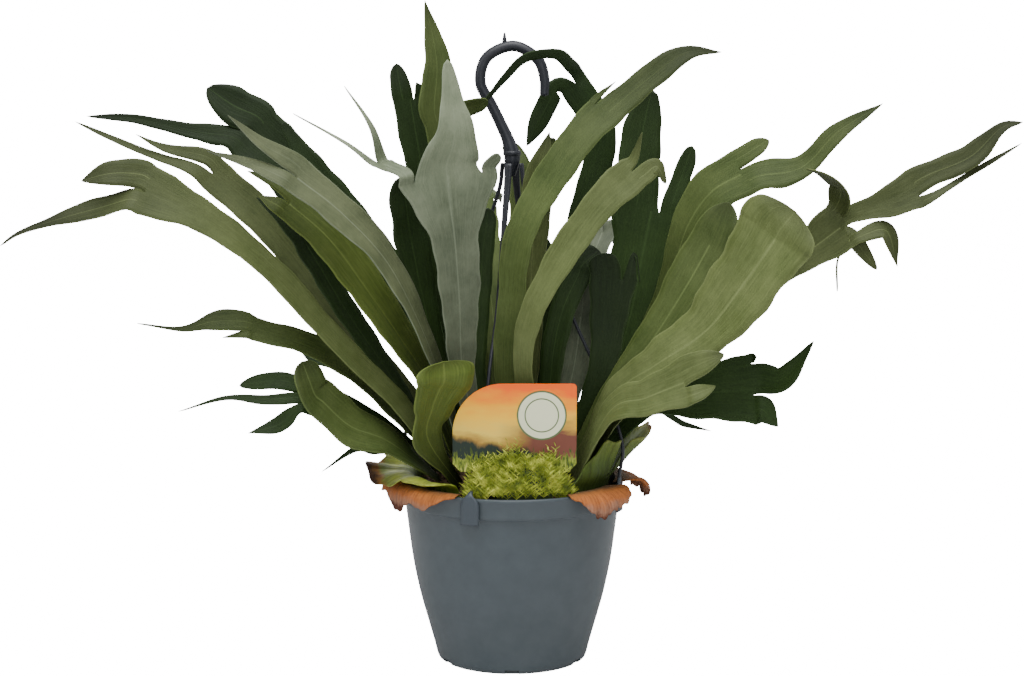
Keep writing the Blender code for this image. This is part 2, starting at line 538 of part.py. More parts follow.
BACK_FRONDS = (
    ("antler_back_1", (-1.0, 3.8), [(-1.5, 8.0, 26.0), (-2.5, 13.0, 33.0), (-3.5, 17.0, 36.5)],
     (0, 20), (0.6, 1.0, 1.4, 2.2),
     [tip(0.5, [(-6.2, 20.5, 37.6), (-8.0, 23.5, 36.6)]), tip(0.5, [(-1.6, 21.5, 37.4), (-1.0, 25.0, 36.0)])],
     GREEN, None),
    ("antler_back_2", (2.0, 3.6), [(4.6, 7.4, 25.0), (6.6, 12.0, 31.0), (8.0, 15.5, 34.0)],
     (0, -20), (0.6, 1.0, 1.4, 2.1),
     [tip(0.5, [(12.0, 18.0, 34.5)], BLUNT), tip(0.5, [(9.0, 20.0, 34.0), (9.6, 23.0, 32.0)])],
     FELTED, None),
    ("antler_back_3", (-3.8, 3.2), [(-7.0, 7.0, 24.0), (-11.0, 11.0, 29.0), (-14.0, 14.0, 31.2)],
     (0, 20), (0.6, 1.0, 1.3, 2.0),
     [tip(0.45, [(-18.8, 16.0, 31.6)], BLUNT), tip(0.55, [(-14.5, 18.0, 31.2), (-15.0, 21.5, 29.6)])],
     OLIVE, None),
    ("antler_back_4", (4.6, 2.6), [(9.0, 5.5, 22.0), (14.0, 8.5, 27.0), (17.0, 10.5, 29.5)],
     (0, -25), (0.6, 1.0, 1.4, 2.0),
     [tip(0.5, [(21.0, 11.6, 31.2)]), tip(0.5, [(18.4, 14.0, 30.4), (19.4, 17.0, 28.6)], BLUNT)],
     GREEN, None),
    ("antler_back_5", (0.4, 4.4), [(0.5, 9.0, 20.0), (0.8, 14.0, 22.8), (1.0, 18.0, 23.0)],
     (0, 10), (0.6, 1.0, 1.3, 1.9),
     [tip(0.5, [(-3.0, 22.0, 22.0)], BLUNT), tip(0.5, [(4.0, 21.4, 22.6), (5.4, 24.0, 20.6)])],
     GREEN, None),
    ("antler_back_6", (-5.2, 2.4), [(-9.0, 6.0, 20.0), (-13.0, 9.0, 22.5), (-16.0, 11.0, 23.6)],
     (-10, -30), (0.5, 0.8, 1.0, 1.5),
     [tip(0.5, [(-19.0, 12.4, 24.6)]), tip(0.5, [(-17.0, 14.6, 24.2), (-17.8, 17.0, 22.8)])],
     SHADE, None),
    ("antler_back_7", (5.4, 2.6), [(9.3, 6.4, 20.4), (12.8, 9.4, 22.2)], (10, 30),
     (0.5, 0.9, 1.6), [tip(0.5, [(16.8, 10.8, 21.8)]), tip(0.5, [(14.0, 13.4, 21.6)], BLUNT)],
     SHADE, None),
    ("antler_back_8", (0.6, 2.8), [(0.2, 5.2, 28.0), (1.2, 7.3, 36.0), (1.5, 8.5, 39.6)], (20, 30),
     (0.6, 0.9, 1.3, 1.9),
     [tip(0.5, [(3.6, 9.2, 42.6)], BLUNT), tip(0.5, [(-0.4, 9.4, 42.2)], BLUNT)], GREEN, None),
    ("antler_back_9", (-2.2, 3.8), [(-4.5, 7.0, 28.0), (-6.6, 9.5, 34.6)], (10, 20),
     (0.6, 1.1, 1.8),
     [tip(0.5, [(-8.6, 10.6, 38.8)], BLUNT), tip(0.5, [(-5.6, 11.4, 39.4)])], OLIVE, None),
)


def antler_fronds():
    for name, root, via, roll, halves, lobes, looks, azimuth in (
        LEFT_FRONDS + CENTRE_FRONDS + RIGHT_FRONDS + BACK_FRONDS
    ):
        antler(name, root, via, roll, halves, lobes, material(*looks), azimuth)


# ---------------------------------------------------------------- shield fronds


SLIT_HALF = 3.4
SLIT_REACH = 0.40


def shield(name, profiles, lobing, looks, slit=None, rows=7, columns=12):
    """A shield frond: an (r, z) profile in centimetres swept round the pot. profiles is a list
    of (angle, profile), blended from one to the next. lobing is the count, depth and phase of
    the margin's waves; the ends reach less far. slit is the angle of a strap that the frond
    has grown round."""
    start, end = profiles[0][0], profiles[-1][0]
    degrees = np.linspace(start, end, columns + 1)
    if slit is not None:
        beside = np.array((-SLIT_HALF - 1, -SLIT_HALF, 0, SLIT_HALF, SLIT_HALF + 1)) + slit
        kept = degrees[np.abs(degrees - slit) > SLIT_HALF + 3]
        degrees = np.sort(np.concatenate((kept, beside)))
        columns = len(degrees) - 1
    angles = np.radians(degrees)
    across = (degrees - start) / (end - start)
    count, depth, phase = lobing
    margin = np.sin(math.pi * (0.08 + 0.84 * across)) ** 0.5
    margin *= 1 - depth * (1 + np.sin(2 * math.pi * count * across + phase))
    beside_strap = np.zeros(columns + 1, bool)
    if slit is not None:
        beside_strap = np.abs(degrees - slit) < SLIT_HALF + 0.5
    lines = [blend(profile, 61) for _, profile in profiles]
    places = np.linspace(0, 1, 61)
    verts = []
    for i in range(rows):
        along = i / (rows - 1)
        reach = np.where(beside_strap, SLIT_REACH * (1 - (1 - along) ** 2.5), along * margin)
        radius, height = (np.interp(reach, places, lines[0][:, k]) for k in (0, 1))
        for (here, _), (there, _), line in zip(profiles[:-1], profiles[1:], lines[1:]):
            part = ease((degrees - here) / (there - here))
            radius = radius * (1 - part) + np.interp(reach, places, line[:, 0]) * part
            height = height * (1 - part) + np.interp(reach, places, line[:, 1]) * part
        verts += list(zip(radius * np.cos(angles), radius * np.sin(angles), height))
    faces = [
        (a + 1, a, a + columns + 1, a + columns + 2)
        for i in range(rows - 1)
        for a in range(i * (columns + 1), i * (columns + 1) + columns)
    ]
    return solid_sheet(name, np.array(verts) * CM, faces, looks, SHIELD_THICKNESS)


# Profiles in (r, z) from the bark, over the rim, to the margin.
FOOT = [(7.8, 13.60), (7.92, 14.4), (8.05, 15.3)]
LOW = FOOT + [(8.7, 15.80), (9.9, 15.95), (11.0, 15.6), (11.7, 14.9)]
HIGH = FOOT + [(8.7, 16.1), (9.8, 17.5), (10.9, 18.6), (11.6, 19.5)]
RISE = FOOT + [(8.6, 16.3), (8.9, 17.6), (9.4, 18.9), (9.9, 20.0)]
DROOP = FOOT + [(8.7, 15.85), (9.8, 15.80), (10.9, 15.2), (11.6, 14.3)]
CURL = FOOT + [(8.7, 15.80), (9.5, 15.75), (10.2, 16.4), (10.4, 17.7)]
SPREAD = FOOT + [(8.7, 15.75), (9.8, 15.9), (11.0, 16.1), (12.4, 16.3)]
SHORT = [(8.5, 15.10), (9.2, 15.17), (9.8, 14.90), (10.1, 14.2), (10.0, 12.9)]
WIDE = [(8.5, 15.10), (9.3, 15.19), (10.2, 15.0), (10.8, 14.3), (10.9, 13.0)]
BROAD = [(8.5, 15.10), (9.3, 15.19), (10.4, 15.3), (11.3, 14.9), (11.7, 13.8)]


def shield_fronds():
    green = material("shield_green", (0.130, 0.190, 0.045), 0.6)
    papery = material("shield_papery", (0.360, 0.130, 0.045), 0.8)
    right = ((-60, LOW), (-58, LOW), (-49, RISE), (-26, RISE), (-8, HIGH), (60, HIGH))
    left = ((122, SPREAD), (184, SPREAD), (200, DROOP), (212, DROOP), (222, CURL), (238, CURL))
    shield("shield_green_right", right, (3, 0.07, 1.0), green, STRAP_ANGLES[1], columns=14)
    shield("shield_green_left", left, (3, 0.07, 0.0), green, STRAP_ANGLES[3], columns=16)
    right = ((-61, SHORT), (-42, WIDE), (-27, BROAD))
    side = ((-15, BROAD), (8, WIDE), (26, SHORT))
    left = ((166, WIDE), (178, WIDE), (200, SHORT), (242, SHORT))
    back = ((77, SHORT), (110, SHORT), (150, WIDE))
    shield("shield_papery_right", right, (2, 0.06, 0.5), papery, columns=8)
    shield("shield_papery_side", side, (2, 0.06, 0.5), papery, columns=8)
    shield("shield_papery_left", left, (3, 0.08, 2.0), papery)
    shield("shield_papery_back", back, (2, 0.08, 0.0), papery)


# ---------------------------------------------------------------- hanger


def hook():
    """Hub, collar and hook in one moulding: a round bar whose radius changes along its path."""
    stations = [
        (0.0, 0.0, 39.9, 0.30),
        (0.0, 0.0, 40.9, 0.62),
        (0.0, 0.0, 41.7, 0.66),
        (-0.3, 0.0, 42.7, 0.50),
        (-1.6, 0.0, 45.5, 0.44),
        (-2.55, 0.0, 47.4, 0.44),
        (-2.0, 0.0, 49.4, 0.44),
        (0.1, 0.0, 50.3, 0.44),
        (2.0, 0.0, 49.3, 0.44),
        (2.6, 0.0, 47.8, 0.42),
        (2.6, 0.0, 46.4, 0.36),
    ]
    sides = 10
    line = blend(stations, 41)
    path = line[:, :3] * CM
    along, across = frames(path, np.array((0.0, 1.0, 0.0)))
    normal = np.cross(along, across)
    turn = np.arange(sides) * 2 * math.pi / sides
    ring = np.cos(turn)[:, None, None] * across + np.sin(turn)[:, None, None] * normal
    verts = (path + ring * line[:, 3, None] * CM).transpose(1, 0, 2).reshape(-1, 3)
    count = len(path)
    faces = [
        (i * sides + j, i * sides + (j + 1) % sides, (i + 1) * sides + (j + 1) % sides, (i + 1) * sides + j)
        for i in range(count - 1)
        for j in range(sides)
    ]
    faces.append(tuple(range(sides))[::-1])
    faces.append(tuple(range((count - 1) * sides, count * sides)))
    body = add_mesh("hanger_hook", verts, faces, material("hanger_plastic", (0.018, 0.022, 0.034), 0.45))
    body.data.set_sharp_from_angle(angle=math.radians(50))


# Each strap line is (r, z, half-width, half-thickness) from the hub to the tab, in centimetres.
STRAP_OUTSIDE = (
    (0.80, 40.9, 0.32, 0.12),
    (1.35, 38.0, 0.26, 0.12),
    (4.4, 30.4, 0.13, 0.12),
    (7.7, 23.5, 0.13, 0.12),
    (9.5, 18.6, 0.15, 0.12),
    (9.31, 15.9, 0.20, 0.12),
    (9.31, 14.6, 0.75, 0.12),
    (9.31, 12.9, 0.75, 0.12),
)
STRAP_BEHIND_TAG = (
    (0.80, 40.9, 0.32, 0.12),
    (1.30, 38.0, 0.26, 0.12),
    (3.1, 30.4, 0.13, 0.12),
    (4.0, 27.4, 0.13, 0.12),
    (5.2, 24.0, 0.13, 0.12),
    (6.0, 19.0, 0.13, 0.12),
    (6.6, 17.1, 0.13, 0.12),
    (7.4, 16.1, 0.14, 0.12),
    (8.3, 15.65, 0.16, 0.12),
    (9.20, 15.35, 0.20, 0.12),
    (9.31, 14.6, 0.75, 0.12),
    (9.31, 12.9, 0.75, 0.12),
)


def strap(name, degrees, stations, tab_top):
    """Flat strap from the hub to a tab outside the rim, which is upright below tab_top."""
    tab = stations[-1][0]
    line = blend(stations, 3 * len(stations))
    line[:, 0] = np.where(line[:, 1] < tab_top, tab, line[:, 0])
    along = unit(np.gradient(line[:, :2], axis=0))
    out = np.column_stack((-along[:, 1], along[:, 0]))
    verts = []
    for (r, z, half, thick), (outward, upward) in zip(line, out):
        for side, face in ((-1, -1), (1, -1), (1, 1), (-1, 1)):
            verts.append((r + face * thick * outward, side * half, z + face * thick * upward))
    count = len(line)
    faces = [
        (4 * i + j, 4 * i + (j + 1) % 4, 4 * i + 4 + (j + 1) % 4, 4 * i + 4 + j)
        for i in range(count - 1)
        for j in range(4)
    ]
    faces.append((3, 2, 1, 0))
    faces.append((4 * count - 4, 4 * count - 3, 4 * count - 2, 4 * count - 1))
    turn = math.radians(degrees)
    cosine, sine = math.cos(turn), math.sin(turn)
    placed = [((x * cosine - y * sine) * CM, (x * sine + y * cosine) * CM, z * CM) for x, y, z in verts]
    body = add_mesh(name, placed, faces, material("hanger_plastic", (0.018, 0.022, 0.034), 0.45), False)
    fix = bmesh.new()
    fix.from_mesh(body.data)
    bmesh.ops.recalc_face_normals(fix, faces=fix.faces)
    fix.to_mesh(body.data)
    fix.free()


# ---------------------------------------------------------------- tag and moss


def tag():
    """Printed plastic card with a big round top-left corner, on a narrow stake in the bark."""
    left, right, bottom, top = -4.7, 5.1, 13.58, 23.9
    card_foot, stake = 16.85, 1.1
    corner = 4.0
    arc = [
        (left + corner * (1 - math.cos(a)), top - corner * (1 - math.sin(a)))
        for a in np.linspace(0, math.pi / 2, 7)
    ]
    small = [(right - 0.3, top), (right, top - 0.3)]
    base = [(right, 17.5), (4.5, card_foot), (stake, card_foot), (stake, bottom)]
    base += [(-stake, bottom), (-stake, card_foot), (-4.1, card_foot), (left, 17.5)]
    outline = arc + small + base
    half = TAG_THICKNESS / 2
    count = len(outline)
    verts = [(x * CM, TAG_PLANE * CM + half, z * CM) for x, z in outline]
    verts += [(x * CM, TAG_PLANE * CM - half, z * CM) for x, z in outline]
    faces = [tuple(range(count)), tuple(range(2 * count - 1, count - 1, -1))]
    faces += [(j, j + count, (j + 1) % count + count, (j + 1) % count) for j in range(count)]
    add_mesh("picture_tag", verts, faces, material("tag_print", (0.60, 0.30, 0.12), 0.4), False)


MOSS_MIDDLE = (0.70, -7.75, 15.6)
MOSS_HALF = (2.70, 0.78, 2.20)
MOSS_BACK = TAG_PLANE - 0.09
MOSS_FOOT = 13.56
POT_INSIDE = 8.55
POT_LIP = 15.4


def moss():
    """Low cushion of moss between the tag and the front of the rim, swelling above the rim."""
    rings, steps = 8, 20
    verts = []
    for i in range(rings + 1):
        v = -math.pi / 2 + math.pi * i / rings
        for j in range(steps if 0 < i < rings else 1):
            u = 2 * math.pi * j / steps
            lump = 1 + 0.10 * math.sin(3 * u + 1.0) * math.cos(v) + 0.08 * math.sin(5 * u)
            x = MOSS_MIDDLE[0] + MOSS_HALF[0] * math.cos(u) * math.cos(v)
            y = MOSS_MIDDLE[1] + MOSS_HALF[1] * math.sin(u) * math.cos(v) * lump
            z = MOSS_MIDDLE[2] + MOSS_HALF[2] * math.sin(v) * (0.9 + 0.1 * lump)
            z += 0.25 * math.sin(4 * u) * math.cos(v)
            y = min(y, MOSS_BACK)
            z = max(z, MOSS_FOOT)
            reach = math.hypot(x, y)
            if reach > POT_INSIDE and z < POT_LIP:
                x, y = x * POT_INSIDE / reach, min(y * POT_INSIDE / reach, MOSS_BACK)
            verts.append((x * CM, y * CM, z * CM))
    top = len(verts) - 1
    faces = [(0, 1 + (j + 1) % steps, 1 + j) for j in range(steps)]
    for i in range(rings - 2):
        a = 1 + i * steps
        b = a + steps
        faces += [(a + j, a + (j + 1) % steps, b + (j + 1) % steps, b + j) for j in range(steps)]
    last = 1 + (rings - 2) * steps
    faces += [(last + j, last + (j + 1) % steps, top) for j in range(steps)]
    add_mesh("moss_cushion", verts, faces, material("moss", (0.10, 0.16, 0.03), 0.95))


def main():
    clear_scene()
    pot()
    bark()
    rhizome()
    antler_fronds()
    shield_fronds()
    hook()
    for number, degrees in enumerate(STRAP_ANGLES, start=1):
        shape, tab_top = (STRAP_BEHIND_TAG, 15.2) if number == 1 else (STRAP_OUTSIDE, 15.8)
        strap(f"hanger_strap_{number}", degrees, shape, tab_top)
    tag()
    moss()


main()
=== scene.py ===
"""Staghorn fern in a hanging pot: the pieces one by one, from the pot up to the fronds and the hanger.

Frame: metres, +Z up, origin under the middle of the pot, front towards -Y.
"""

import math

import bmesh
import bpy
import numpy as np
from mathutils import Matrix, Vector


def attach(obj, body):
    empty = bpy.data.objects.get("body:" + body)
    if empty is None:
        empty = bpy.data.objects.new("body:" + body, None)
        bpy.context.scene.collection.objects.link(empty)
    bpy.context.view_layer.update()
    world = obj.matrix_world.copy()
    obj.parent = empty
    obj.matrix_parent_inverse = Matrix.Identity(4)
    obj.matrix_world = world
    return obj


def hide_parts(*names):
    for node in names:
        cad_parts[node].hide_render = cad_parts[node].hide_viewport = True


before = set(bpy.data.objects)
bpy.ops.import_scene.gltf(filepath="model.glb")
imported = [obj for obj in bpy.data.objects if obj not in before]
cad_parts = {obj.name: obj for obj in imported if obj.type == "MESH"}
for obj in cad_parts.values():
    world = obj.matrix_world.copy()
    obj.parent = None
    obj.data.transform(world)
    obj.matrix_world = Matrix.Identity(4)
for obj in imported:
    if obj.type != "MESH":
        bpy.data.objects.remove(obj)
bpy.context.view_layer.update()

# ------------------------------------------------------------------ pot
# Injection-moulded slate-grey pot, satin outside. The wall bellies slightly, the rim is a
# thicker band with a rounded lip, and the foot has six drain notches.


def placed(name, data):
    """A new object in the scene, holding the given mesh, light or camera."""
    obj = bpy.data.objects.new(name, data)
    bpy.context.scene.collection.objects.link(obj)
    return obj


def add_object(name, verts, faces, material, smooth=True):
    """A mesh object from arrays of points in metres, riding on the root body."""
    mesh = bpy.data.meshes.new(name)
    mesh.from_pydata(np.asarray(verts, float).tolist(), [], [list(map(int, f)) for f in faces])
    mesh.update()
    obj = placed(name, mesh)
    mesh.materials.append(material)
    if smooth:
        mesh.shade_smooth()
    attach(obj, "root")
    return obj


def thicken(obj, thickness, offset=0.0):
    """Makes a sheet solid: offset 0 grows it to both sides alike, and 1 along its normals."""
    skin = obj.modifiers.new("thickness", "SOLIDIFY")
    skin.thickness = thickness
    skin.offset = offset
    return skin


def face_out(obj):
    """Turns every face of a closed mesh outward."""
    bm = bmesh.new()
    bm.from_mesh(obj.data)
    bmesh.ops.recalc_face_normals(bm, faces=bm.faces)
    bm.to_mesh(obj.data)
    bm.free()


def smooth_list(values, count):
    """Catmull-Rom curve through equally spaced values, read at count places."""
    v = np.asarray(values, float)
    v = v.reshape(len(v), -1)
    ends = np.vstack((2 * v[0] - v[1], v, 2 * v[-1] - v[-2]))
    u = np.linspace(0, len(v) - 1, count)
    i = np.minimum(u.astype(int), len(v) - 2)
    u = (u - i)[:, None]
    a, b, c, d = ends[i], ends[i + 1], ends[i + 2], ends[i + 3]
    return 0.5 * (2 * b + (c - a) * u + (2 * a - 5 * b + 4 * c - d) * u**2 + (3 * b - a - 3 * c + d) * u**3)


def ring_angles(steps):
    """Equal angles once round, in radians."""
    return np.arange(steps) * 2 * np.pi / steps


def ring_quads(rows, steps):
    """Quads between rows of closed rings; point (i, j) has the index i * steps + j."""
    return [
        (i * steps + j, i * steps + (j + 1) % steps, (i + 1) * steps + (j + 1) % steps, (i + 1) * steps + j)
        for i in range(rows - 1)
        for j in range(steps)
    ]


def tube_faces(rows, steps):
    """Ring quads closed by two fans, to the two points that come after the last ring."""
    top, first = (rows - 1) * steps, rows * steps
    faces = ring_quads(rows, steps)
    faces += [((j + 1) % steps, j, first) for j in range(steps)]
    faces += [(top + j, top + (j + 1) % steps, first + 1) for j in range(steps)]
    return faces


def revolved(profile, steps):
    """Points and faces of an (r, z) profile turned about Z; it starts and ends on the axis.
    Point (i, j) is at (r_i cos a_j, r_i sin a_j, z_i)."""
    profile = np.asarray(profile, float)
    ring = profile[1:-1]
    a = ring_angles(steps)
    x = ring[:, :1] * np.cos(a)
    y = ring[:, :1] * np.sin(a)
    z = np.repeat(ring[:, 1:], steps, axis=1)
    verts = np.stack((x, y, z), axis=-1).reshape(-1, 3)
    verts = np.vstack((verts, (0, 0, profile[0, 1]), (0, 0, profile[-1, 1])))
    return verts, tube_faces(len(ring), steps)


class Look:
    """A material: its Principled shader, and the nodes that feed it."""

    def __init__(self, name, colour, roughness, specular=0.5):
        self.material = bpy.data.materials.new(name)
        self.material.use_nodes = True
        self.nodes, self.links = self.material.node_tree.nodes, self.material.node_tree.links
        self.shader = self.nodes["Principled BSDF"]
        self.feed(self.shader.inputs["Base Color"], (*colour, 1))
        self.feed(self.shader.inputs["Roughness"], roughness)
        self.feed(self.shader.inputs["Specular IOR Level"], specular)

    def feed(self, socket, value):
        """Gives a socket a plain value, or joins it to another node's output."""
        if isinstance(value, bpy.types.NodeSocket):
            self.links.new(value, socket)
        else:
            socket.default_value = value

    def node(self, kind, inputs, **settings):
        """A new node with its settings; inputs say what each of its sockets is fed with."""
        node = self.nodes.new("ShaderNode" + kind)
        for key, value in settings.items():
            setattr(node, key, value)
        for key, value in inputs.items():
            self.feed(node.inputs[key], value)
        return node

    def noise(self, vector, scale, detail=3.0, rough=0.55):
        """Cloudy noise from 0 to 1 over a vector output."""
        inputs = {"Vector": vector, "Scale": scale, "Detail": detail, "Roughness": rough}
        return self.node("TexNoise", inputs).outputs["Fac"]

    def ramp(self, factor, stops):
        """Colours, or single greys, that a factor runs through; stops are (place, colour)."""
        node = self.node("ValToRGB", {"Fac": factor})
        points = node.color_ramp.elements
        while len(points) < len(stops):
            points.new(0.5)
        for point, (place, colour) in zip(points, stops):
            point.position = place
            point.color = (*colour, 1) if len(colour) == 3 else (colour[0],) * 3 + (1,)
        return node.outputs["Color"]

    def mix(self, factor, low, high, kind="MIX"):
        """Low and high colours mixed by a factor; each is an output or a plain colour."""
        low, high = ((*c, 1) if isinstance(c, tuple) else c for c in (low, high))
        inputs = {0: factor, 6: low, 7: high}
        return self.node("Mix", inputs, data_type="RGBA", blend_type=kind).outputs[2]

    def compute(self, kind, a, b=0.0, c=0.0):
        """One step of arithmetic on outputs or numbers."""
        return self.node("Math", {0: a, 1: b, 2: c}, operation=kind).outputs[0]

    def stretched(self, vector, scale):
        """A vector output times the scale, part by part."""
        return self.node("VectorMath", {0: vector, 1: scale}, operation="MULTIPLY").outputs["Vector"]

    def place(self, scale=(1, 1, 1)):
        """The place on the object, stretched by the scale."""
        return self.stretched(self.node("TexCoord", {}).outputs["Object"], scale)

    def blade(self, scale):
        """The stored place on a blade, stretched for streaks, and the last of its three marks."""
        marks = self.node("Attribute", {}, attribute_name="blade").outputs["Vector"]
        return self.stretched(marks, scale), self.node("SeparateXYZ", {0: marks}).outputs["Z"]

    def paint(self, colour):
        """The colour of the shader."""
        self.feed(self.shader.inputs["Base Color"], colour)

    def emboss(self, height, strength, distance):
        """Small relief of the surface from a height output."""
        relief = self.node("Bump", {"Strength": strength, "Distance": distance, "Height": height})
        self.feed(self.shader.inputs["Normal"], relief.outputs["Normal"])


def mottled(name, colour, roughness, grain, stops, relief=None):
    """A material whose colour runs through the stops with a noise of the place. grain is that
    noise's scale and detail; relief is a finer one's scale, detail, strength and distance."""
    look = Look(name, colour, roughness)
    where = look.place()
    look.paint(look.ramp(look.noise(where, *grain), stops))
    if relief:
        scale, detail, strength, distance = relief
        look.emboss(look.noise(where, scale, detail), strength, distance)
    return look.material


# The six faces of a box whose corners 0 to 3 go round its foot and 4 to 7 round its top.
BOX_FACES = ((0, 3, 2, 1), (4, 5, 6, 7), (0, 1, 5, 4), (1, 2, 6, 5), (2, 3, 7, 6), (3, 0, 4, 7))

POT_STEPS, FOOT_NOTCHES = 144, 6
NOTCH_INNER, NOTCH_OUTER, NOTCH_HALF = 0.0575, 0.0705, 0.0055
pot_look = mottled("pot_slate", (0.05, 0.066, 0.076), 0.42, (60, 4),
                   [(0.3, (0.046, 0.062, 0.072)), (0.75, (0.058, 0.075, 0.086))],
                   (420, 2, 0.08, 0.0004))
pot_outside = smooth_list(
    [(0.0642, 0.012), (0.0682, 0.0265), (0.0723, 0.041), (0.0757, 0.0535), (0.0785, 0.066),
     (0.0810, 0.0785), (0.0830, 0.091), (0.0848, 0.105), (0.0865, 0.1185), (0.0881, 0.1320)], 37
)
pot_ring_line = [(r + 0.00025 * math.exp(-(((z - 0.096) / 0.0009) ** 2)), z) for r, z in pot_outside]
pot_profile = (
    [(0.0, 0.0005), (0.034, 0.0005), (0.0490, 0.0005), (0.0505, 0.0), (0.0580, 0.0), (0.0597, 0.0004),
     (0.0611, 0.0015), (0.0621, 0.0036), (0.0631, 0.0072)]
    + pot_ring_line
    + [(0.0885, 0.1326), (0.0901, 0.1331), (0.0905, 0.1338), (0.0907, 0.1360), (0.0913, 0.1460),
       (0.0918, 0.1472), (0.0920, 0.1484), (0.0918, 0.1494), (0.0913, 0.1499), (0.0905, 0.1500),
       (0.0893, 0.1500), (0.0887, 0.1497), (0.0884, 0.1490), (0.0881, 0.1380), (0.0867, 0.1325)]
    + [(r - 0.0016, z) for r, z in pot_outside[::-4]]
    + [(0.0605, 0.0034), (0.056, 0.003), (0.0, 0.003)]
)
verts, faces = revolved(pot_profile, POT_STEPS)
pot = add_object("pot_body", verts, faces, pot_look)
pot.data.set_sharp_from_angle(angle=math.radians(50))
notch_corners = ((NOTCH_INNER, -NOTCH_HALF), (NOTCH_OUTER, -NOTCH_HALF),
                 (NOTCH_OUTER, NOTCH_HALF), (NOTCH_INNER, NOTCH_HALF))
notch_verts, notch_faces = [], []
for k in range(FOOT_NOTCHES):
    a = 2 * math.pi * (k + 0.5) / FOOT_NOTCHES
    out, side = np.array((math.cos(a), math.sin(a), 0)), np.array((-math.sin(a), math.cos(a), 0))
    for up in (-0.001, 0.0042):
        notch_verts += [out * o + side * s + np.array((0, 0, up)) for o, s in notch_corners]
    notch_faces += [[8 * k + n for n in f] for f in BOX_FACES]
cutter_mesh = bpy.data.meshes.new("drain_cutter")
cutter_mesh.from_pydata([tuple(v) for v in notch_verts], [], notch_faces)
cutter = placed("drain_cutter", cutter_mesh)
cutter.hide_render = True
cutter.display_type = "WIRE"
cut = pot.modifiers.new("drain_notches", "BOOLEAN")
cut.operation = "DIFFERENCE"
cut.solver = "EXACT"
cut.object = cutter
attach(cutter, "root")
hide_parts("pot")

# ------------------------------------------------------------------ bark mix
# Coarse damp bark fills the pot to just under the rim. Chips lie loose on its top.

rng = np.random.default_rng(11)


def lumpy_disc(radius, z, rings, steps, lump, seed):
    """Disc whose height is z plus a sum of sines in x and y; point (i, j) at radius i, angle j."""
    random = np.random.default_rng(seed)
    r = radius * np.linspace(0, 1, rings + 1)[1:, None]
    a = ring_angles(steps)[None]
    x, y = r * np.cos(a), r * np.sin(a)
    h = np.zeros_like(x)
    for wave in (90, 170, 320, 520):
        turn, shift = random.uniform(0, 6.28, 2)
        h += np.sin(wave * (x * np.cos(turn) + y * np.sin(turn)) + shift) * 90 / wave
    fade = np.clip((radius - r) / 0.004, 0, 1)
    return x, y, z + lump * h * fade


BARK_RINGS, BARK_STEPS, CHIP_COUNT = 22, 72, 150
bark_look = mottled("bark_mix", (0.05, 0.03, 0.02), 0.95, (160, 5),
                    [(0.3, (0.020, 0.012, 0.008)), (0.55, (0.065, 0.036, 0.02)), (0.8, (0.13, 0.08, 0.045))],
                    (300, 5, 0.8, 0.002))
bx, by, bz = lumpy_disc(0.0857, 0.1335, BARK_RINGS, BARK_STEPS, 0.0006, 3)
top_points = np.stack((bx, by, bz), -1).reshape(-1, 3)
under = [(0.0822, 0.110), (0.0765, 0.066), (0.0700, 0.038), (0.0615, 0.0125), (0.056, 0.0036)]
angles = ring_angles(BARK_STEPS)
under_points = [np.column_stack((r * np.cos(angles), r * np.sin(angles), np.full(BARK_STEPS, z)))
                for r, z in under]
verts = np.vstack([top_points, *under_points, [(0, 0, 0.1338), (0, 0, 0.0036)]])
faces = tube_faces(BARK_RINGS + len(under), BARK_STEPS)
bark = add_object("bark_mix_body", verts, faces, bark_look)
face_out(bark)

CHIP = np.array([(-1, -1, -1), (1, -0.7, -1), (0.8, 1, -1), (-0.9, 0.8, -1),
                 (-0.8, -0.9, 1), (0.9, -0.8, 0.8), (0.7, 0.9, 1), (-1, 0.7, 0.9)])
chip_verts, chip_faces = [], []
for n in range(CHIP_COUNT):
    turn, tilt, away = rng.uniform(0, 6.283), rng.uniform(-0.5, 0.5), rng.uniform(0.061, 0.083)
    around = rng.uniform(0, 6.283)
    size = np.array((rng.uniform(0.003, 0.0065), rng.uniform(0.002, 0.004), rng.uniform(0.0008, 0.0016)))
    p = CHIP * size * rng.uniform(0.8, 1.1, (8, 1))
    p = np.column_stack((p[:, 0] * math.cos(tilt) + p[:, 2] * math.sin(tilt), p[:, 1],
                         p[:, 2] * math.cos(tilt) - p[:, 0] * math.sin(tilt)))
    p = np.column_stack((p[:, 0] * math.cos(turn) - p[:, 1] * math.sin(turn),
                         p[:, 0] * math.sin(turn) + p[:, 1] * math.cos(turn), p[:, 2]))
    middle = np.array((away * math.cos(around) * 0.95, away * math.sin(around) * 0.95, 0.1353))
    chip_faces += [[8 * n + k for k in f] for f in BOX_FACES]
    chip_verts.append(p + middle)
add_object("bark_chips", np.vstack(chip_verts), chip_faces, bark_look, smooth=False)
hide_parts("bark_mix")

# ------------------------------------------------------------------ rhizome
# The short stem sits on the bark: a low brown dome covered in thin papery scales.

CROWN = (0.076, 0.062, 0.032, 0.136)


def dome(x, y):
    """Height of the rhizome's top: its foot plus its rise times the root of 1 - (x/a)^2 - (y/b)^2."""
    a, b, rise, foot = CROWN
    return foot + rise * np.sqrt(np.maximum(1 - (x / a) ** 2 - (y / b) ** 2, 0))


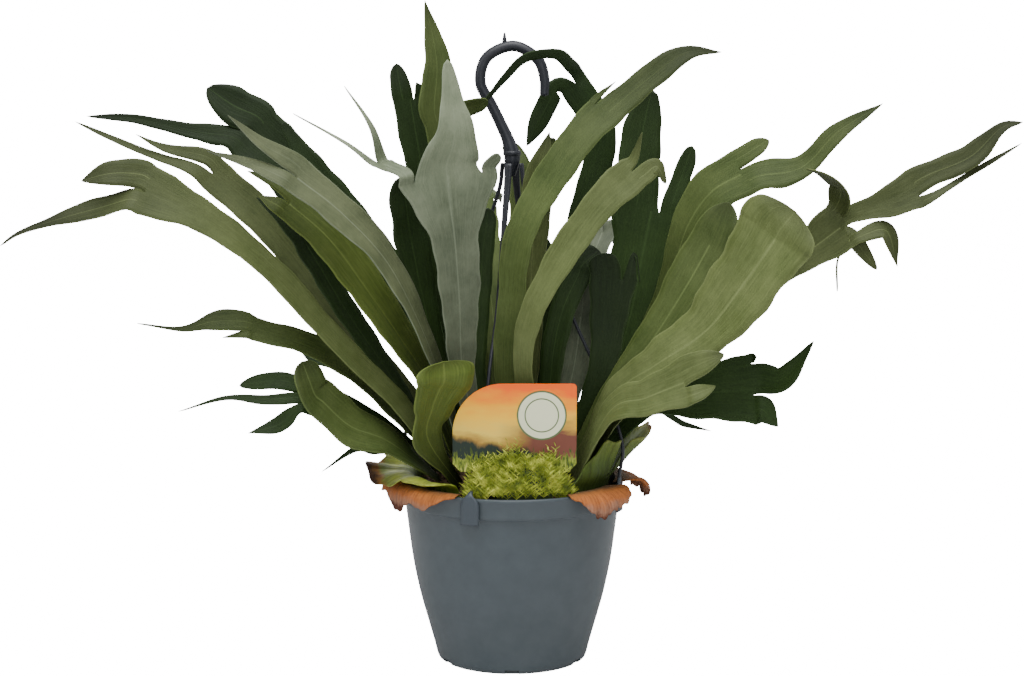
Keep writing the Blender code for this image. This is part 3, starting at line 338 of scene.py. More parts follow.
RHIZOME_RINGS, RHIZOME_STEPS, SCALE_COUNT = 18, 64, 420
rhizome_look = mottled("rhizome_scales", (0.12, 0.07, 0.04), 0.9, (90, 5),
                       [(0.3, (0.045, 0.028, 0.014)), (0.55, (0.13, 0.078, 0.04)), (0.8, (0.26, 0.17, 0.09))],
                       (260, 4, 0.6, 0.0015))
turns = np.linspace(0, np.pi / 2, RHIZOME_RINGS + 1)[1:, None]
around = ring_angles(RHIZOME_STEPS)[None]
rx = CROWN[0] * np.sin(turns) * np.cos(around)
ry = CROWN[1] * np.sin(turns) * np.sin(around)
rz = CROWN[3] + CROWN[2] * np.cos(turns) * (1 + 0.02 * np.sin(7 * around + 4 * turns) * np.sin(turns * 2))
verts = np.vstack((np.stack((rx, ry, rz * np.ones_like(rx)), -1).reshape(-1, 3),
                   [(0, 0, CROWN[3] + CROWN[2]), (0, 0, CROWN[3])]))
faces = tube_faces(RHIZOME_RINGS, RHIZOME_STEPS)
rhizome = add_object("rhizome_body", verts, faces, rhizome_look)
face_out(rhizome)
scale_verts, scale_faces = [], []
for n in range(SCALE_COUNT):
    a, q = rng.uniform(0, 6.283), rng.uniform(0.1, 0.99) ** 0.6
    x, y = CROWN[0] * q * math.cos(a), CROWN[1] * q * math.sin(a)
    root = np.array((x, y, float(dome(x, y))))
    out = np.array((math.cos(a), math.sin(a), rng.uniform(0.1, 0.9) * (1.2 - q)))
    out /= np.linalg.norm(out)
    side = np.array((-math.sin(a), math.cos(a), 0)) * rng.uniform(0.0009, 0.0018)
    lift = np.array((0, 0, 0.0006))
    long = rng.uniform(0.005, 0.010)
    middle = root + out * long * 0.5 + lift
    scale_verts += [root - side, root + side, middle + side * 0.8,
                    root + out * long + lift * rng.uniform(0, 4), middle - side * 0.8,
                    root + out * long * 0.4 + lift * 2.4]
    scale_faces += [[6 * n + k, 6 * n + (k + 1) % 5, 6 * n + 5] for k in range(5)]
scales = add_object("rhizome_scale_leaves", scale_verts, scale_faces, rhizome_look,
                    smooth=False)
thicken(scales, 0.0003, 1.0)
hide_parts("rhizome")

# ------------------------------------------------------------------ antler fronds
# Leathery forked fronds rise from the rhizome on narrow stalks, widen to a fork and end in
# lobes. A pale felt covers them, thinner on the upper side, and veins run along every lobe.

POINTED = (1, 1.0, 0.85, 0.6, 0.32, 0.06)
BLUNT = (1, 1.04, 1.06, 1.02, 0.92, 0.7)
THREAD = (1, 0.72, 0.48, 0.3, 0.18, 0.08)
CM = 0.01


def tip(share, points, shape=POINTED):
    """A lobe that ends: its share of the fork, the points it runs through and its outline."""
    return {"share": share, "points": points, "shape": shape, "lobes": ()}


def arm(share, points, half, lobes):
    """A lobe that forks again; half is its half-width there."""
    return {"share": share, "points": points, "half": half, "lobes": lobes}


FELTED, GREEN, SHADE = "frond_felted", "frond_green", "frond_shaded"
OLIVE, YOUNG = "frond_olive", "frond_young"

# Each row: name, root (x, y), points up to the fork, roll there, half-widths, lobes, look, azimuth.
# Lengths are in centimetres and angles in degrees.
LEFT_FRONDS = (
    ("antler_left_1", (-6.2, 0.5), [(-9.0, -0.6, 17.4), (-11.5, -1.2, 17.6)], (-40, -60),
     (0.4, 0.45), [tip(1, [(-15.5, -2.0, 15.9)], THREAD)], SHADE, None),
    ("antler_left_2", (-5.8, -2.6), [(-9.8, -5.6, 19.0), (-12.7, -7.5, 20.6), (-14.8, -8.7, 22.8)],
     (-30, -66), (0.6, 1.3, 1.9, 1.9),
     [tip(1, [(-16.3, -9.2, 26.0)], (1, 0.96, 0.88, 0.76, 0.55))], GREEN, None),
    ("antler_left_3", (-5.8, -1.0), [(-10.5, -3.8, 20.0), (-14.0, -5.4, 22.0), (-16.0, -6.2, 22.6)],
     (-40, -66), (0.5, 0.7, 1.0, 1.5),
     [tip(0.30, [(-18.6, -6.8, 20.6), (-20.8, -7.2, 20.0)], (0.8, 1.0, 1.7, 1.7, 0.9, 0.1)),
      tip(0.30, [(-19.6, -6.8, 22.6), (-22.6, -7.2, 22.8), (-26.2, -7.6, 21.8)],
          (1, 1.2, 1.0, 0.55, 0.3, 0.1)),
      tip(0.40, [(-18.6, -6.2, 24.0), (-21.6, -6.0, 23.6)], (1, 1.2, 1.3, 1.1, 0.6))], SHADE, None),
    ("antler_left_4", (-5.4, 0.0), [(-9.6, -3.0, 21.6), (-13.0, -4.2, 24.9), (-16.5, -5.2, 26.9),
                                     (-20.3, -6.0, 28.1)], (-40, -62), (0.7, 1.4, 1.4, 1.1, 1.0),
     [tip(0.35, [(-22.8, -6.4, 27.5)]),
      tip(0.65, [(-23.6, -6.4, 28.7), (-26.0, -6.6, 28.2), (-29.4, -7.0, 28.7)],
          (1, 1.5, 1.4, 0.7, 0.3, 0.15, 0.1))], GREEN, None),
    ("antler_left_5", (-4.6, -3.4), [(-8.6, -5.4, 21.6), (-13.5, -7.0, 27.0), (-19.0, -8.2, 33.4),
                                      (-23.8, -9.0, 37.2), (-28.0, -9.4, 39.2)],
     (-40, -66), (0.7, 1.0, 1.05, 1.1, 1.2, 2.1),
     [tip(0.46, [(-31.2, -9.8, 38.1), (-34.4, -10.0, 37.2), (-37.6, -10.2, 36.1),
                 (-39.1, -10.4, 35.1)], (1, 1.1, 0.95, 0.5, 0.25, 0.12)),
      tip(0.54, [(-30.6, -9.7, 40.5), (-32.9, -9.8, 40.0)], (1, 1.12, 1.12, 0.95, 0.6, 0.15))],
     OLIVE, None),
    ("antler_left_6", (-4.4, 1.7), [(-9.0, 0.9, 22.4), (-13.8, -0.8, 28.3), (-17.7, -1.2, 33.6),
                                     (-20.6, -1.5, 37.1), (-24.0, -1.8, 40.0)],
     (-45, -70), (0.6, 0.8, 1.0, 1.3, 1.5, 1.45),
     [tip(0.55, [(-29.6, -2.0, 42.0), (-34.8, -2.2, 44.3)], (1, 0.7, 0.5, 0.4, 0.3, 0.12)),
      tip(0.45, [(-27.8, -2.0, 42.2), (-30.0, -2.2, 43.3)])], OLIVE, None),
    ("antler_left_7", (-3.2, 2.6), [(-7.6, 4.6, 26.0), (-14.3, 4.2, 34.7), (-18.2, 4.0, 40.0),
                                     (-21.2, 4.0, 43.0)], (-50, -75), (0.6, 1.1, 1.6, 2.1, 2.5),
     [tip(0.45, [(-26.4, 3.6, 43.4), (-31.0, 3.4, 44.4), (-35.0, 3.2, 44.6)],
          (1, 0.85, 0.55, 0.4, 0.3, 0.12)),
      tip(0.55, [(-23.2, 4.2, 45.4), (-25.2, 4.2, 46.9)], (1, 1.2, 1.3, 1.05, 0.5))], SHADE, None),
    ("antler_left_8", (-3.4, -4.2), [(-5.4, -5.8, 23.2), (-7.3, -7.4, 28.8), (-9.8, -8.4, 33.8),
                                      (-13.2, -9.1, 37.6), (-16.4, -9.6, 40.2)],
     (-30, -62), (0.6, 0.9, 1.1, 1.35, 1.6, 1.7),
     [tip(0.5, [(-19.8, -9.9, 41.3), (-23.2, -10.2, 42.3)]),
      tip(0.5, [(-19.2, -9.7, 42.9), (-21.6, -9.9, 45.0)])], FELTED, None),
    ("antler_left_9", (-4.2, -2.0), [(-6.6, -3.4, 23.1), (-8.9, -4.4, 27.2), (-11.9, -5.2, 31.8),
                                      (-14.5, -5.8, 35.4), (-17.4, -6.2, 38.0)],
     (-35, -60), (0.6, 1.2, 1.6, 2.0, 2.0, 1.7),
     [tip(0.5, [(-19.8, -6.6, 38.7)]), tip(0.5, [(-20.6, -6.5, 40.6)])], YOUNG, None),
    ("antler_left_10", (-5.2, -1.8), [(-9.4, -2.6, 23.2), (-13.1, -3.4, 29.0), (-16.2, -4.0, 34.4)],
     (-40, -60), (0.5, 0.8, 1.1, 1.2), [tip(1, [(-20.2, -4.4, 38.4)])], SHADE, None),
    ("antler_left_11", (-2.4, 1.2), [(-6.0, 1.4, 25.6), (-11.2, 1.4, 34.0), (-14.8, 1.2, 38.6)],
     (-60, -80), (0.5, 1.0, 1.2, 1.2), [tip(1, [(-18.7, 1.0, 44.2)], (1, 0.95, 0.85, 0.6, 0.4, 0.3))],
     SHADE, None),
)

CENTRE_FRONDS = (
    ("antler_centre_1", (-1.6, -4.6), [(-3.8, -5.5, 23.8), (-4.1, -7.3, 30.4), (-4.4, -8.4, 35.2),
                                        (-4.7, -8.9, 38.0), (-4.9, -9.2, 40.2)],
     (-60, -86), (0.6, 0.9, 1.3, 1.8, 2.1, 4.0),
     [arm(0.15, [(-9.8, -9.0, 41.2)], 0.8,
          [tip(0.5, [(-12.8, -8.8, 42.9), (-16.8, -8.4, 45.1)], THREAD),
           tip(0.5, [(-10.8, -9.2, 44.2), (-12.8, -9.0, 47.2)], (1, 1.1, 0.8, 0.5, 0.25, 0.1))]),
      tip(0.70, [(-4.4, -9.8, 43.6), (-4.9, -9.9, 49.2)], (1, 1.0, 0.7, 0.44, 0.3, 0.24)),
      tip(0.15, [(-1.0, -8.4, 42.0)], BLUNT)], FELTED, 200),
    ("antler_centre_2", (-1.2, -1.2), [(-3.0, -2.6, 27.0), (-4.2, -3.6, 36.0), (-5.2, -4.2, 44.2)],
     (-70, -86), (0.6, 0.9, 1.2, 1.9),
     [tip(0.6, [(-5.8, -4.4, 49.0), (-6.8, -4.5, 53.8)], (1, 1.25, 1.2, 0.9, 0.5, 0.1)),
      tip(0.4, [(-1.9, -4.0, 46.0)], BLUNT)], GREEN, 200),
    ("antler_centre_3", (-2.6, -0.2), [(-5.0, -0.2, 28.0), (-6.8, -0.2, 37.6), (-8.2, -0.2, 46.0)],
     (-70, -86), (0.5, 0.9, 1.2, 1.45),
     [tip(0.6, [(-9.3, -0.2, 48.9)], (1, 1.1, 1.0, 0.8, 0.4)),
      tip(0.4, [(-7.7, -0.2, 47.4)], (1, 1.0, 0.8, 0.5, 0.1))], SHADE, 190),
    ("antler_centre_4", (-3.4, -2.9), [(-5.8, -4.0, 24.4), (-7.0, -4.6, 30.0), (-7.9, -5.2, 34.8)],
     (-60, -80), (0.5, 0.8, 1.2, 1.6), [tip(1, [(-8.6, -6.2, 40.2)], BLUNT)], SHADE, None),
    ("antler_centre_5", (-0.6, -2.6), [(-2.9, -3.2, 23.6), (-2.7, -3.3, 28.5), (-2.4, -3.3, 33.0)],
     (-70, -86), (0.5, 0.8, 0.9, 0.85), [tip(1, [(-1.9, -3.2, 37.5)], BLUNT)], SHADE, 190),
    ("antler_centre_6", (1.6, 2.2), [(4.2, 3.0, 30.0), (6.8, 3.2, 39.4), (7.2, 3.0, 43.6),
                                      (5.2, 2.6, 47.0)], (-90, -80), (0.5, 0.9, 1.2, 1.3, 1.3),
     [tip(0.45, [(4.6, 0.6, 48.8), (3.5, -1.1, 49.6), (1.1, -1.5, 49.3), (-0.5, -1.3, 47.8),
                (-1.8, -1.2, 46.3), (-2.9, -1.4, 45.1)], (1, 1.0, 0.9, 0.75, 0.5, 0.3)),
      tip(0.55, [(3.6, 2.4, 47.0), (2.4, 2.2, 44.8), (1.2, 2.0, 42.2)], (1, 1.2, 1.3, 1.3, 1.0, 0.3))],
     SHADE, 0),
    ("antler_centre_7", (0.3, -4.3), [(-0.45, -4.5, 24.5), (0.0, -5.0, 30.4), (0.6, -5.2, 35.4),
                                       (2.8, -4.8, 39.5), (5.1, -4.2, 42.8), (7.2, -3.6, 45.0)],
     (60, 70), (0.6, 0.9, 1.1, 1.2, 1.3, 1.4, 1.5),
     [tip(0.82, [(10.3, -3.2, 47.4), (13.6, -2.8, 49.7), (16.6, -2.4, 49.8)],
          (1, 1.0, 0.95, 0.8, 0.45, 0.08)),
      tip(0.18, [(8.2, -3.2, 47.5)], POINTED)], GREEN, 0),
    ("antler_centre_8", (2.2, -4.3), [(0.9, -5.9, 24.7), (1.5, -6.9, 29.3), (3.3, -7.4, 33.0),
                                       (5.1, -7.2, 35.8), (7.2, -6.8, 38.4), (9.4, -6.4, 40.4)],
     (70, 70), (0.6, 0.7, 0.8, 0.95, 1.15, 1.3, 1.45),
     [tip(0.55, [(11.3, -6.4, 41.0), (12.0, -6.4, 39.6)], (1, 1.1, 0.9, 0.5, 0.3)),
      tip(0.45, [(10.1, -6.6, 43.6)], (1, 0.7, 0.5, 0.3, 0.12))], OLIVE, 0),
    ("antler_centre_9", (3.4, 1.2), [(8.0, 1.8, 22.6), (9.7, 2.2, 27.8), (10.7, 2.5, 32.8),
                                      (11.5, 2.6, 36.8)], (80, 86), (0.7, 1.2, 1.8, 2.4, 3.2),
     [tip(0.12, [(15.2, 2.6, 38.2)]), tip(0.28, [(14.0, 2.7, 39.8), (14.8, 2.7, 42.2)], BLUNT),
      tip(0.6, [(10.6, 2.8, 41.8), (11.5, 2.8, 46.8)], (1, 0.95, 0.95, 0.9, 0.75, 0.5))], SHADE, 0),
    ("antler_centre_10", (4.4, -1.2), [(7.0, -3.6, 24.1), (7.8, -3.6, 29.0), (8.0, -3.6, 31.8)],
     (80, 86), (0.5, 0.8, 1.2, 1.9),
     [tip(0.3, [(9.8, -3.6, 33.8), (10.2, -3.8, 31.6)], THREAD), tip(0.7, [(7.2, -3.6, 33.9)], BLUNT)],
     SHADE, 0),
    ("antler_centre_11", (2.8, -2.0), [(3.2, -2.5, 24.5), (4.0, -2.7, 29.0), (5.4, -2.4, 32.2)],
     (70, 80), (0.5, 0.8, 1.0, 1.1), [tip(1, [(7.0, -2.0, 34.0)], BLUNT)], SHADE, 0),
    ("antler_centre_12", (3.2, -0.6), [(5.0, -0.6, 24.0), (5.6, -0.6, 28.4)], (80, 86),
     (0.5, 1.0, 1.7), [tip(1, [(5.4, -0.6, 31.6)], BLUNT)], FELTED, 0),
    ("antler_centre_13", (0.8, -0.8), [(1.4, -1.2, 26.0), (1.6, -1.6, 33.0), (2.0, -2.0, 38.5)],
     (70, 80), (0.5, 0.9, 1.2, 1.2), [tip(1, [(3.0, -2.2, 43.5)])], OLIVE, 0),
    ("antler_centre_14", (1.4, 0.6), [(2.4, 0.8, 24.0), (2.6, 1.0, 30.0)], (70, 80),
     (0.5, 0.9, 1.1), [tip(1, [(2.2, 1.2, 35.0)], BLUNT)], SHADE, 0),
    ("antler_centre_15", (-4.2, -4.3), [(-6.6, -7.8, 19.6), (-6.2, -8.6, 22.2), (-5.6, -9.0, 23.8)],
     (-60, -84), (0.5, 0.8, 1.7, 2.7),
     [tip(1, [(-5.3, -9.3, 26.0)], (1, 1.04, 1.08, 1.06, 0.84))], YOUNG, 200),
)

RIGHT_FRONDS = (
    ("antler_right_1", (4.8, -3.7), [(8.1, -5.6, 22.6), (11.3, -7.7, 25.5), (15.0, -9.3, 28.4),
                                      (17.9, -10.4, 32.4), (20.0, -10.8, 35.6)],
     (50, 72), (0.7, 1.1, 1.5, 2.2, 2.9, 3.4),
     [tip(1, [(21.5, -11.1, 37.8)], (1, 0.99, 0.95, 0.84, 0.4))], OLIVE, None),
    ("antler_right_2", (4.3, -2.3), [(8.5, -4.7, 23.6), (11.0, -5.8, 27.1), (13.4, -6.6, 31.1),
                                      (15.4, -7.0, 34.8)], (60, 76), (0.6, 0.9, 1.3, 1.8, 2.0),
     [tip(1, [(16.9, -7.2, 38.2)], (1, 0.98, 0.88, 0.66, 0.25))], GREEN, None),
    ("antler_right_3", (4.0, -0.2), [(8.2, -1.0, 23.0), (10.5, -1.6, 27.0), (12.6, -2.4, 31.5),
                                      (14.0, -3.2, 36.0), (15.8, -3.8, 38.8), (18.1, -4.2, 40.2)],
     (60, 70), (0.5, 0.5, 0.55, 0.6, 1.1, 1.7, 2.1),
     [tip(0.6, [(22.8, -4.8, 40.9), (25.5, -5.0, 43.6), (29.0, -5.2, 45.8)],
          (1, 1.1, 0.8, 0.75, 0.45, 0.12)),
      tip(0.4, [(20.3, -4.0, 42.9)], (1, 1.08, 1.05, 0.85, 0.4))], GREEN, None),
    ("antler_right_4", (5.4, -1.5), [(9.3, -4.8, 22.3), (15.0, -6.4, 27.4), (19.3, -7.0, 31.4),
                                      (23.4, -7.8, 34.7), (25.4, -8.2, 36.3)],
     (55, 72), (0.7, 0.9, 1.0, 1.0, 1.1, 2.0),
     [tip(0.06, [(25.2, -8.6, 33.9), (25.2, -8.6, 31.4)], (1, 1.0, 0.8, 0.8, 0.6)),
      tip(0.18, [(26.6, -8.8, 35.2), (28.2, -8.8, 33.1)], (1, 1.8, 2.1, 1.9, 1.3, 0.6)),
      tip(0.20, [(28.8, -9.2, 36.2), (29.7, -9.2, 33.4)], (1, 1.6, 2.1, 2.0, 1.2, 0.1)),
      arm(0.30, [(28.9, -9.0, 38.3), (30.8, -9.4, 39.3)], 1.6,
          [tip(0.3, [(35.0, -9.8, 40.6), (38.8, -10.0, 42.9)], (1, 0.7, 0.5, 0.45, 0.35, 0.12)),
           tip(0.7, [(35.0, -9.8, 41.8), (37.2, -10.0, 44.0), (38.8, -10.2, 44.5)],
               (1, 1.0, 0.95, 0.8, 0.5, 0.15))]),
      tip(0.26, [(25.3, -9.0, 39.3), (23.9, -9.0, 40.5), (22.6, -9.0, 40.9)],
          (1, 2.4, 2.7, 2.3, 1.3, 0.2))], OLIVE, None),
    ("antler_right_5", (6.0, -0.6), [(10.8, -2.4, 21.4), (14.6, -4.0, 22.6), (19.2, -5.0, 23.2)],
     (50, 72), (0.6, 1.0, 1.8, 3.0),
     [tip(0.42, [(21.2, -5.4, 20.2)], (1, 0.9, 0.72, 0.42, 0.1)),
      tip(0.43, [(21.6, -5.8, 24.2), (23.8, -6.2, 27.2)], (1, 1.0, 0.8, 0.45, 0.12)),
      tip(0.15, [(19.4, -5.2, 25.8)], (1, 1.0, 0.8, 0.5, 0.12))], SHADE, None),
    ("antler_right_6", (6.2, 1.0), [(8.8, 0.6, 19.8), (11.4, 0.3, 20.9), (13.4, 0.1, 19.9)], (40, 60),
     (0.3, 0.3, 0.3, 0.25), [tip(1, [(16.4, 0.0, 18.9)])], SHADE, None),
    ("antler_right_7", (4.6, -4.7), [(7.6, -7.4, 21.6), (10.4, -9.6, 23.2), (13.2, -10.9, 24.6)],
     (45, 72), (0.4, 0.8, 1.4, 1.9),
     [tip(0.4, [(15.6, -11.4, 24.4)], (1, 0.95, 0.8, 0.5, 0.15)),
      tip(0.6, [(15.2, -11.4, 26.4), (16.2, -11.5, 26.9)], (1, 1.0, 0.9, 0.65, 0.25))], OLIVE, None),
)

BACK_FRONDS = (
    ("antler_back_1", (-1.0, 3.8), [(-1.5, 8.0, 26.0), (-2.5, 13.0, 33.0), (-3.5, 17.0, 36.5)],
     (0, 20), (0.6, 1.0, 1.4, 2.2),
     [tip(0.5, [(-6.2, 20.5, 37.6), (-8.0, 23.5, 36.6)]), tip(0.5, [(-1.6, 21.5, 37.4), (-1.0, 25.0, 36.0)])],
     GREEN, None),
    ("antler_back_2", (2.0, 3.6), [(4.6, 7.4, 25.0), (6.6, 12.0, 31.0), (8.0, 15.5, 34.0)],
     (0, -20), (0.6, 1.0, 1.4, 2.1),
     [tip(0.5, [(12.0, 18.0, 34.5)], BLUNT), tip(0.5, [(9.0, 20.0, 34.0), (9.6, 23.0, 32.0)])],
     FELTED, None),
    ("antler_back_3", (-3.8, 3.2), [(-7.0, 7.0, 24.0), (-11.0, 11.0, 29.0), (-14.0, 14.0, 31.2)],
     (0, 20), (0.6, 1.0, 1.3, 2.0),
     [tip(0.45, [(-18.8, 16.0, 31.6)], BLUNT), tip(0.55, [(-14.5, 18.0, 31.2), (-15.0, 21.5, 29.6)])],
     OLIVE, None),
    ("antler_back_4", (4.6, 2.6), [(9.0, 5.5, 22.0), (14.0, 8.5, 27.0), (17.0, 10.5, 29.5)],
     (0, -25), (0.6, 1.0, 1.4, 2.0),
     [tip(0.5, [(21.0, 11.6, 31.2)]), tip(0.5, [(18.4, 14.0, 30.4), (19.4, 17.0, 28.6)], BLUNT)],
     GREEN, None),
    ("antler_back_5", (0.4, 4.4), [(0.5, 9.0, 20.0), (0.8, 14.0, 22.8), (1.0, 18.0, 23.0)],
     (0, 10), (0.6, 1.0, 1.3, 1.9),
     [tip(0.5, [(-3.0, 22.0, 22.0)], BLUNT), tip(0.5, [(4.0, 21.4, 22.6), (5.4, 24.0, 20.6)])],
     GREEN, None),
    ("antler_back_6", (-5.2, 2.4), [(-9.0, 6.0, 20.0), (-13.0, 9.0, 22.5), (-16.0, 11.0, 23.6)],
     (-10, -30), (0.5, 0.8, 1.0, 1.5),
     [tip(0.5, [(-19.0, 12.4, 24.6)]), tip(0.5, [(-17.0, 14.6, 24.2), (-17.8, 17.0, 22.8)])],
     SHADE, None),
    ("antler_back_7", (5.4, 2.6), [(9.3, 6.4, 20.4), (12.8, 9.4, 22.2)], (10, 30),
     (0.5, 0.9, 1.6), [tip(0.5, [(16.8, 10.8, 21.8)]), tip(0.5, [(14.0, 13.4, 21.6)], BLUNT)],
     SHADE, None),
    ("antler_back_8", (0.6, 2.8), [(0.2, 5.2, 28.0), (1.2, 7.3, 36.0), (1.5, 8.5, 39.6)], (20, 30),
     (0.6, 0.9, 1.3, 1.9),
     [tip(0.5, [(3.6, 9.2, 42.6)], BLUNT), tip(0.5, [(-0.4, 9.4, 42.2)], BLUNT)], GREEN, None),
    ("antler_back_9", (-2.2, 3.8), [(-4.5, 7.0, 28.0), (-6.6, 9.5, 34.6)], (10, 20),
     (0.6, 1.1, 1.8),
     [tip(0.5, [(-8.6, 10.6, 38.8)], BLUNT), tip(0.5, [(-5.6, 11.4, 39.4)])], OLIVE, None),
)


def unit(v):
    """Vectors of length one in the same directions."""
    return v / np.maximum(np.linalg.norm(v, axis=-1, keepdims=True), 1e-12)


def along_path(points, rows):
    """Catmull-Rom curve through the points, read at equal steps of its length."""
    fine = smooth_list(points, 24 * (len(points) - 1) + 1)
    run = np.concatenate(([0], np.cumsum(np.linalg.norm(np.diff(fine, axis=0), axis=1))))
    at = np.linspace(0, run[-1], rows)
    return np.column_stack([np.interp(at, run, fine[:, k]) for k in range(3)]), run[-1]


def carried(path, side):
    """Along and across directions, carried along the path without spinning."""
    along = unit(np.gradient(path, axis=0))
    across = np.empty_like(path)
    for i, forward in enumerate(along):
        side = unit(side - forward * (side @ forward))
        across[i] = side
    return along, across


def ease(q):
    """Smooth step from 0 to 1: q^2 (3 - 2 q), with q held between 0 and 1."""
    q = np.clip(q, 0, 1)
    return q * q * (3 - 2 * q)


def ordered(lobes, centre, across):
    """The lobes from one edge of the blade to the other, by where each one heads."""
    return sorted(lobes, key=lambda b: float((np.array(b["points"][0]) - centre) @ across))


def end_shares(lobes):
    """Each lobe end's part of the blade's width."""
    found = []
    for b in lobes:
        inner = end_shares(b["lobes"]) if b["lobes"] else [1.0]
        found += [b["share"] * part / sum(inner) for part in inner]
    return found


class Frond:
    """Middle surface of a frond, in centimetres. The trunk's rows run across a curve from the
    rhizome to the fork: row i is path_i + half_i * place_j * across_i, its edges lifted by a
    cup and waved by a ripple. At the fork the columns are shared out among the lobes, and each
    lobe goes on from its own part of that row along its own curve."""

    COLUMNS, TRUNK, LOBE, NOTCH = 6, 44, 30, 0.16

    def __init__(self, seed, cup, ripple):
        self.random = np.random.default_rng(seed)
        self.cup, self.ripple = cup, ripple
        self.verts, self.marks, self.faces = [], [], []
        self.phase = self.random.uniform(0, 6.283, 8)

    def row(self, points, u, v, edge):
        """Stores a row; marks hold the column's place in cm, the run in cm, nearness to the rim."""
        start = len(self.verts)
        self.verts.extend(points)
        self.marks.extend(zip(u, np.broadcast_to(v, len(points)), edge))
        return list(range(start, start + len(points)))

    def skin(self, rows):
        """Quads between neighbouring rows, or triangles where a row has shrunk to one point."""
        for a, b in zip(rows[:-1], rows[1:]):
            for j in range(len(a) - 1):
                if b[j] == b[j + 1]:
                    self.faces.append((a[j], a[j + 1], b[j]))
                else:
                    self.faces.append((a[j], a[j + 1], b[j + 1], b[j]))

    def wave(self, place, run, half):
        """Lift of a point off the flat blade: cup * half * place^2 plus two margin waves."""
        margin = np.abs(place) ** 1.6
        phase = np.where(place > 0, self.phase[0], self.phase[1])
        beat = np.sin(run * 1.05 + phase) + 0.5 * np.sin(run * 2.3 + phase * 1.7)
        ridge = 0.03 * np.exp(-((place / 0.10) ** 2))
        cup = self.cup * half * place**2
        return cup + self.ripple * margin * beat * np.minimum(half, 1.5) - ridge * half

    def outline(self, place, run):
        """Margin factor 1 + waves of the run, with its own phase on each side of the midrib."""
        phase = np.where(place > 0, self.phase[2], self.phase[3])
        waves = 0.045 * np.sin(0.95 * run + phase) + 0.030 * np.sin(2.3 * run + 1.9 * phase)
        return 1 + waves * np.abs(place)

    def trunk(self, points, azimuth, roll, halves, lobes):
        """The blade up to its first fork. Its columns are shared out in the way of the lobes'
        ends, and its foot is raised until the whole of it clears the rhizome's dome."""
        count = self.TRUNK
        path, run = along_path(points, count)
        side = np.array((-math.sin(azimuth), math.cos(azimuth), 0.0))
        along, flat = carried(path, side)
        q = np.linspace(0, 1, count)
        turn = np.radians(roll[0] + (roll[1] - roll[0]) * q)[:, None]
        across = flat * np.cos(turn) + np.cross(along, flat) * np.sin(turn)
        lobes = ordered(lobes, path[-1], across[-1])
        parts = np.array(end_shares(lobes))
        cuts = np.concatenate(([0], np.cumsum(parts / parts.sum())))
        places = np.concatenate([np.linspace(a, b, self.COLUMNS, endpoint=False)
                                 for a, b in zip(cuts[:-1], cuts[1:])] + [[1.0]]) * 2 - 1
        half = smooth_list(halves, count)[:, 0]
        foot = path[0] + half[0] * places[:, None] * across[0]
        need = np.max(dome(foot[:, 0] * CM, foot[:, 1] * CM) / CM - foot[:, 2]) + 0.05
        path = path + np.outer((1 - q) ** 3, (0, 0, need))
        normal = np.cross(along, across)
        lift = self.wave(places[None], q[:, None] * run, half[:, None]) * ease(q[:, None] / 0.3)
        width = half[:, None] * places * self.outline(places[None], q[:, None] * run)
        grid = path[:, None] + width[..., None] * across[:, None] + lift[..., None] * normal[:, None]
        u = places * half[-1]
        rows = [self.row(grid[i], u, q[i] * run, 1 - np.abs(places)) for i in range(count)]
        self.skin(rows)
        self.split(rows[-1], u, lobes, along[-1], across[-1], run)

    def split(self, row, u, lobes, along, across, run):
        """Hands each lobe its own part of the fork's row."""
        start = 0
        for k, lobe in enumerate(lobes):
            width = self.COLUMNS * len(end_shares([lobe]))
            mine = slice(start, start + width + 1)
            start += width
            self.lobe(row[mine], u[mine], lobe, along, across, k > 0, k < len(lobes) - 1, run)

    def lobe(self, row, u, lobe, along0, across0, pull_low, pull_high, run0):
        """One lobe: its half-width follows its outline or runs to the next fork's, and the edges
        beside another lobe are pulled in by NOTCH * (1 - exp(-q / 0.12))."""
        base = np.array([self.verts[i] for i in row])
        middle = (base[0] + base[-1]) / 2
        half0 = np.linalg.norm(base[-1] - base[0]) / 2
        places = (base - base[0]) @ across0
        places = places / places[-1]
        goal = np.array(lobe["points"], float)
        lead = middle + along0 * 0.3 * np.linalg.norm(goal[0] - middle)
        count = self.LOBE
        path, run = along_path(np.vstack((middle, lead, goal)), count)
        along, across = carried(path, across0)
        q = np.linspace(0, 1, count)
        forks = bool(lobe["lobes"])
        if forks:
            half = half0 + (lobe["half"] - half0) * q
        else:
            half = half0 * smooth_list(lobe["shape"], count)[:, 0] * np.sqrt(1 - q**12)
        pull = self.NOTCH * (1 - np.exp(-q / 0.12)) * (1 - q if forks else 1)
        low = -1 + pull * pull_low
        high = 1 - pull * pull_high
        turn = ease(q / 0.35)[:, None]
        across = unit(across0 * (1 - turn) + across * turn)
        normal = np.cross(along, across)
        spread = (low[:, None] + (high - low)[:, None] * places) * half[:, None]
        spread = spread * self.outline(2 * places[None] - 1, run0 + q[:, None] * run)
        lift = self.wave(2 * places[None] - 1, run0 + q[:, None] * run, half[:, None])
        fade = (1 - ease(q / 0.6))[:, None, None]
        grid = path[:, None] + spread[..., None] * across[:, None] + lift[..., None] * normal[:, None]
        grid = grid + (base - grid[0])[None] * fade
        rows = [row]
        edge = 1 - np.abs(2 * places - 1)
        for i in range(1, count):
            if i == count - 1 and not forks:
                rows.append(self.row([path[i]], [u.mean()], run0 + run, [0.0]) * len(row))
            else:
                rows.append(self.row(grid[i], u, run0 + q[i] * run, edge))
        self.skin(rows)
        if forks:
            inner = ordered(lobe["lobes"], path[-1], across[-1])
            self.split(rows[-1], u, inner, along[-1], across[-1], run0 + run)


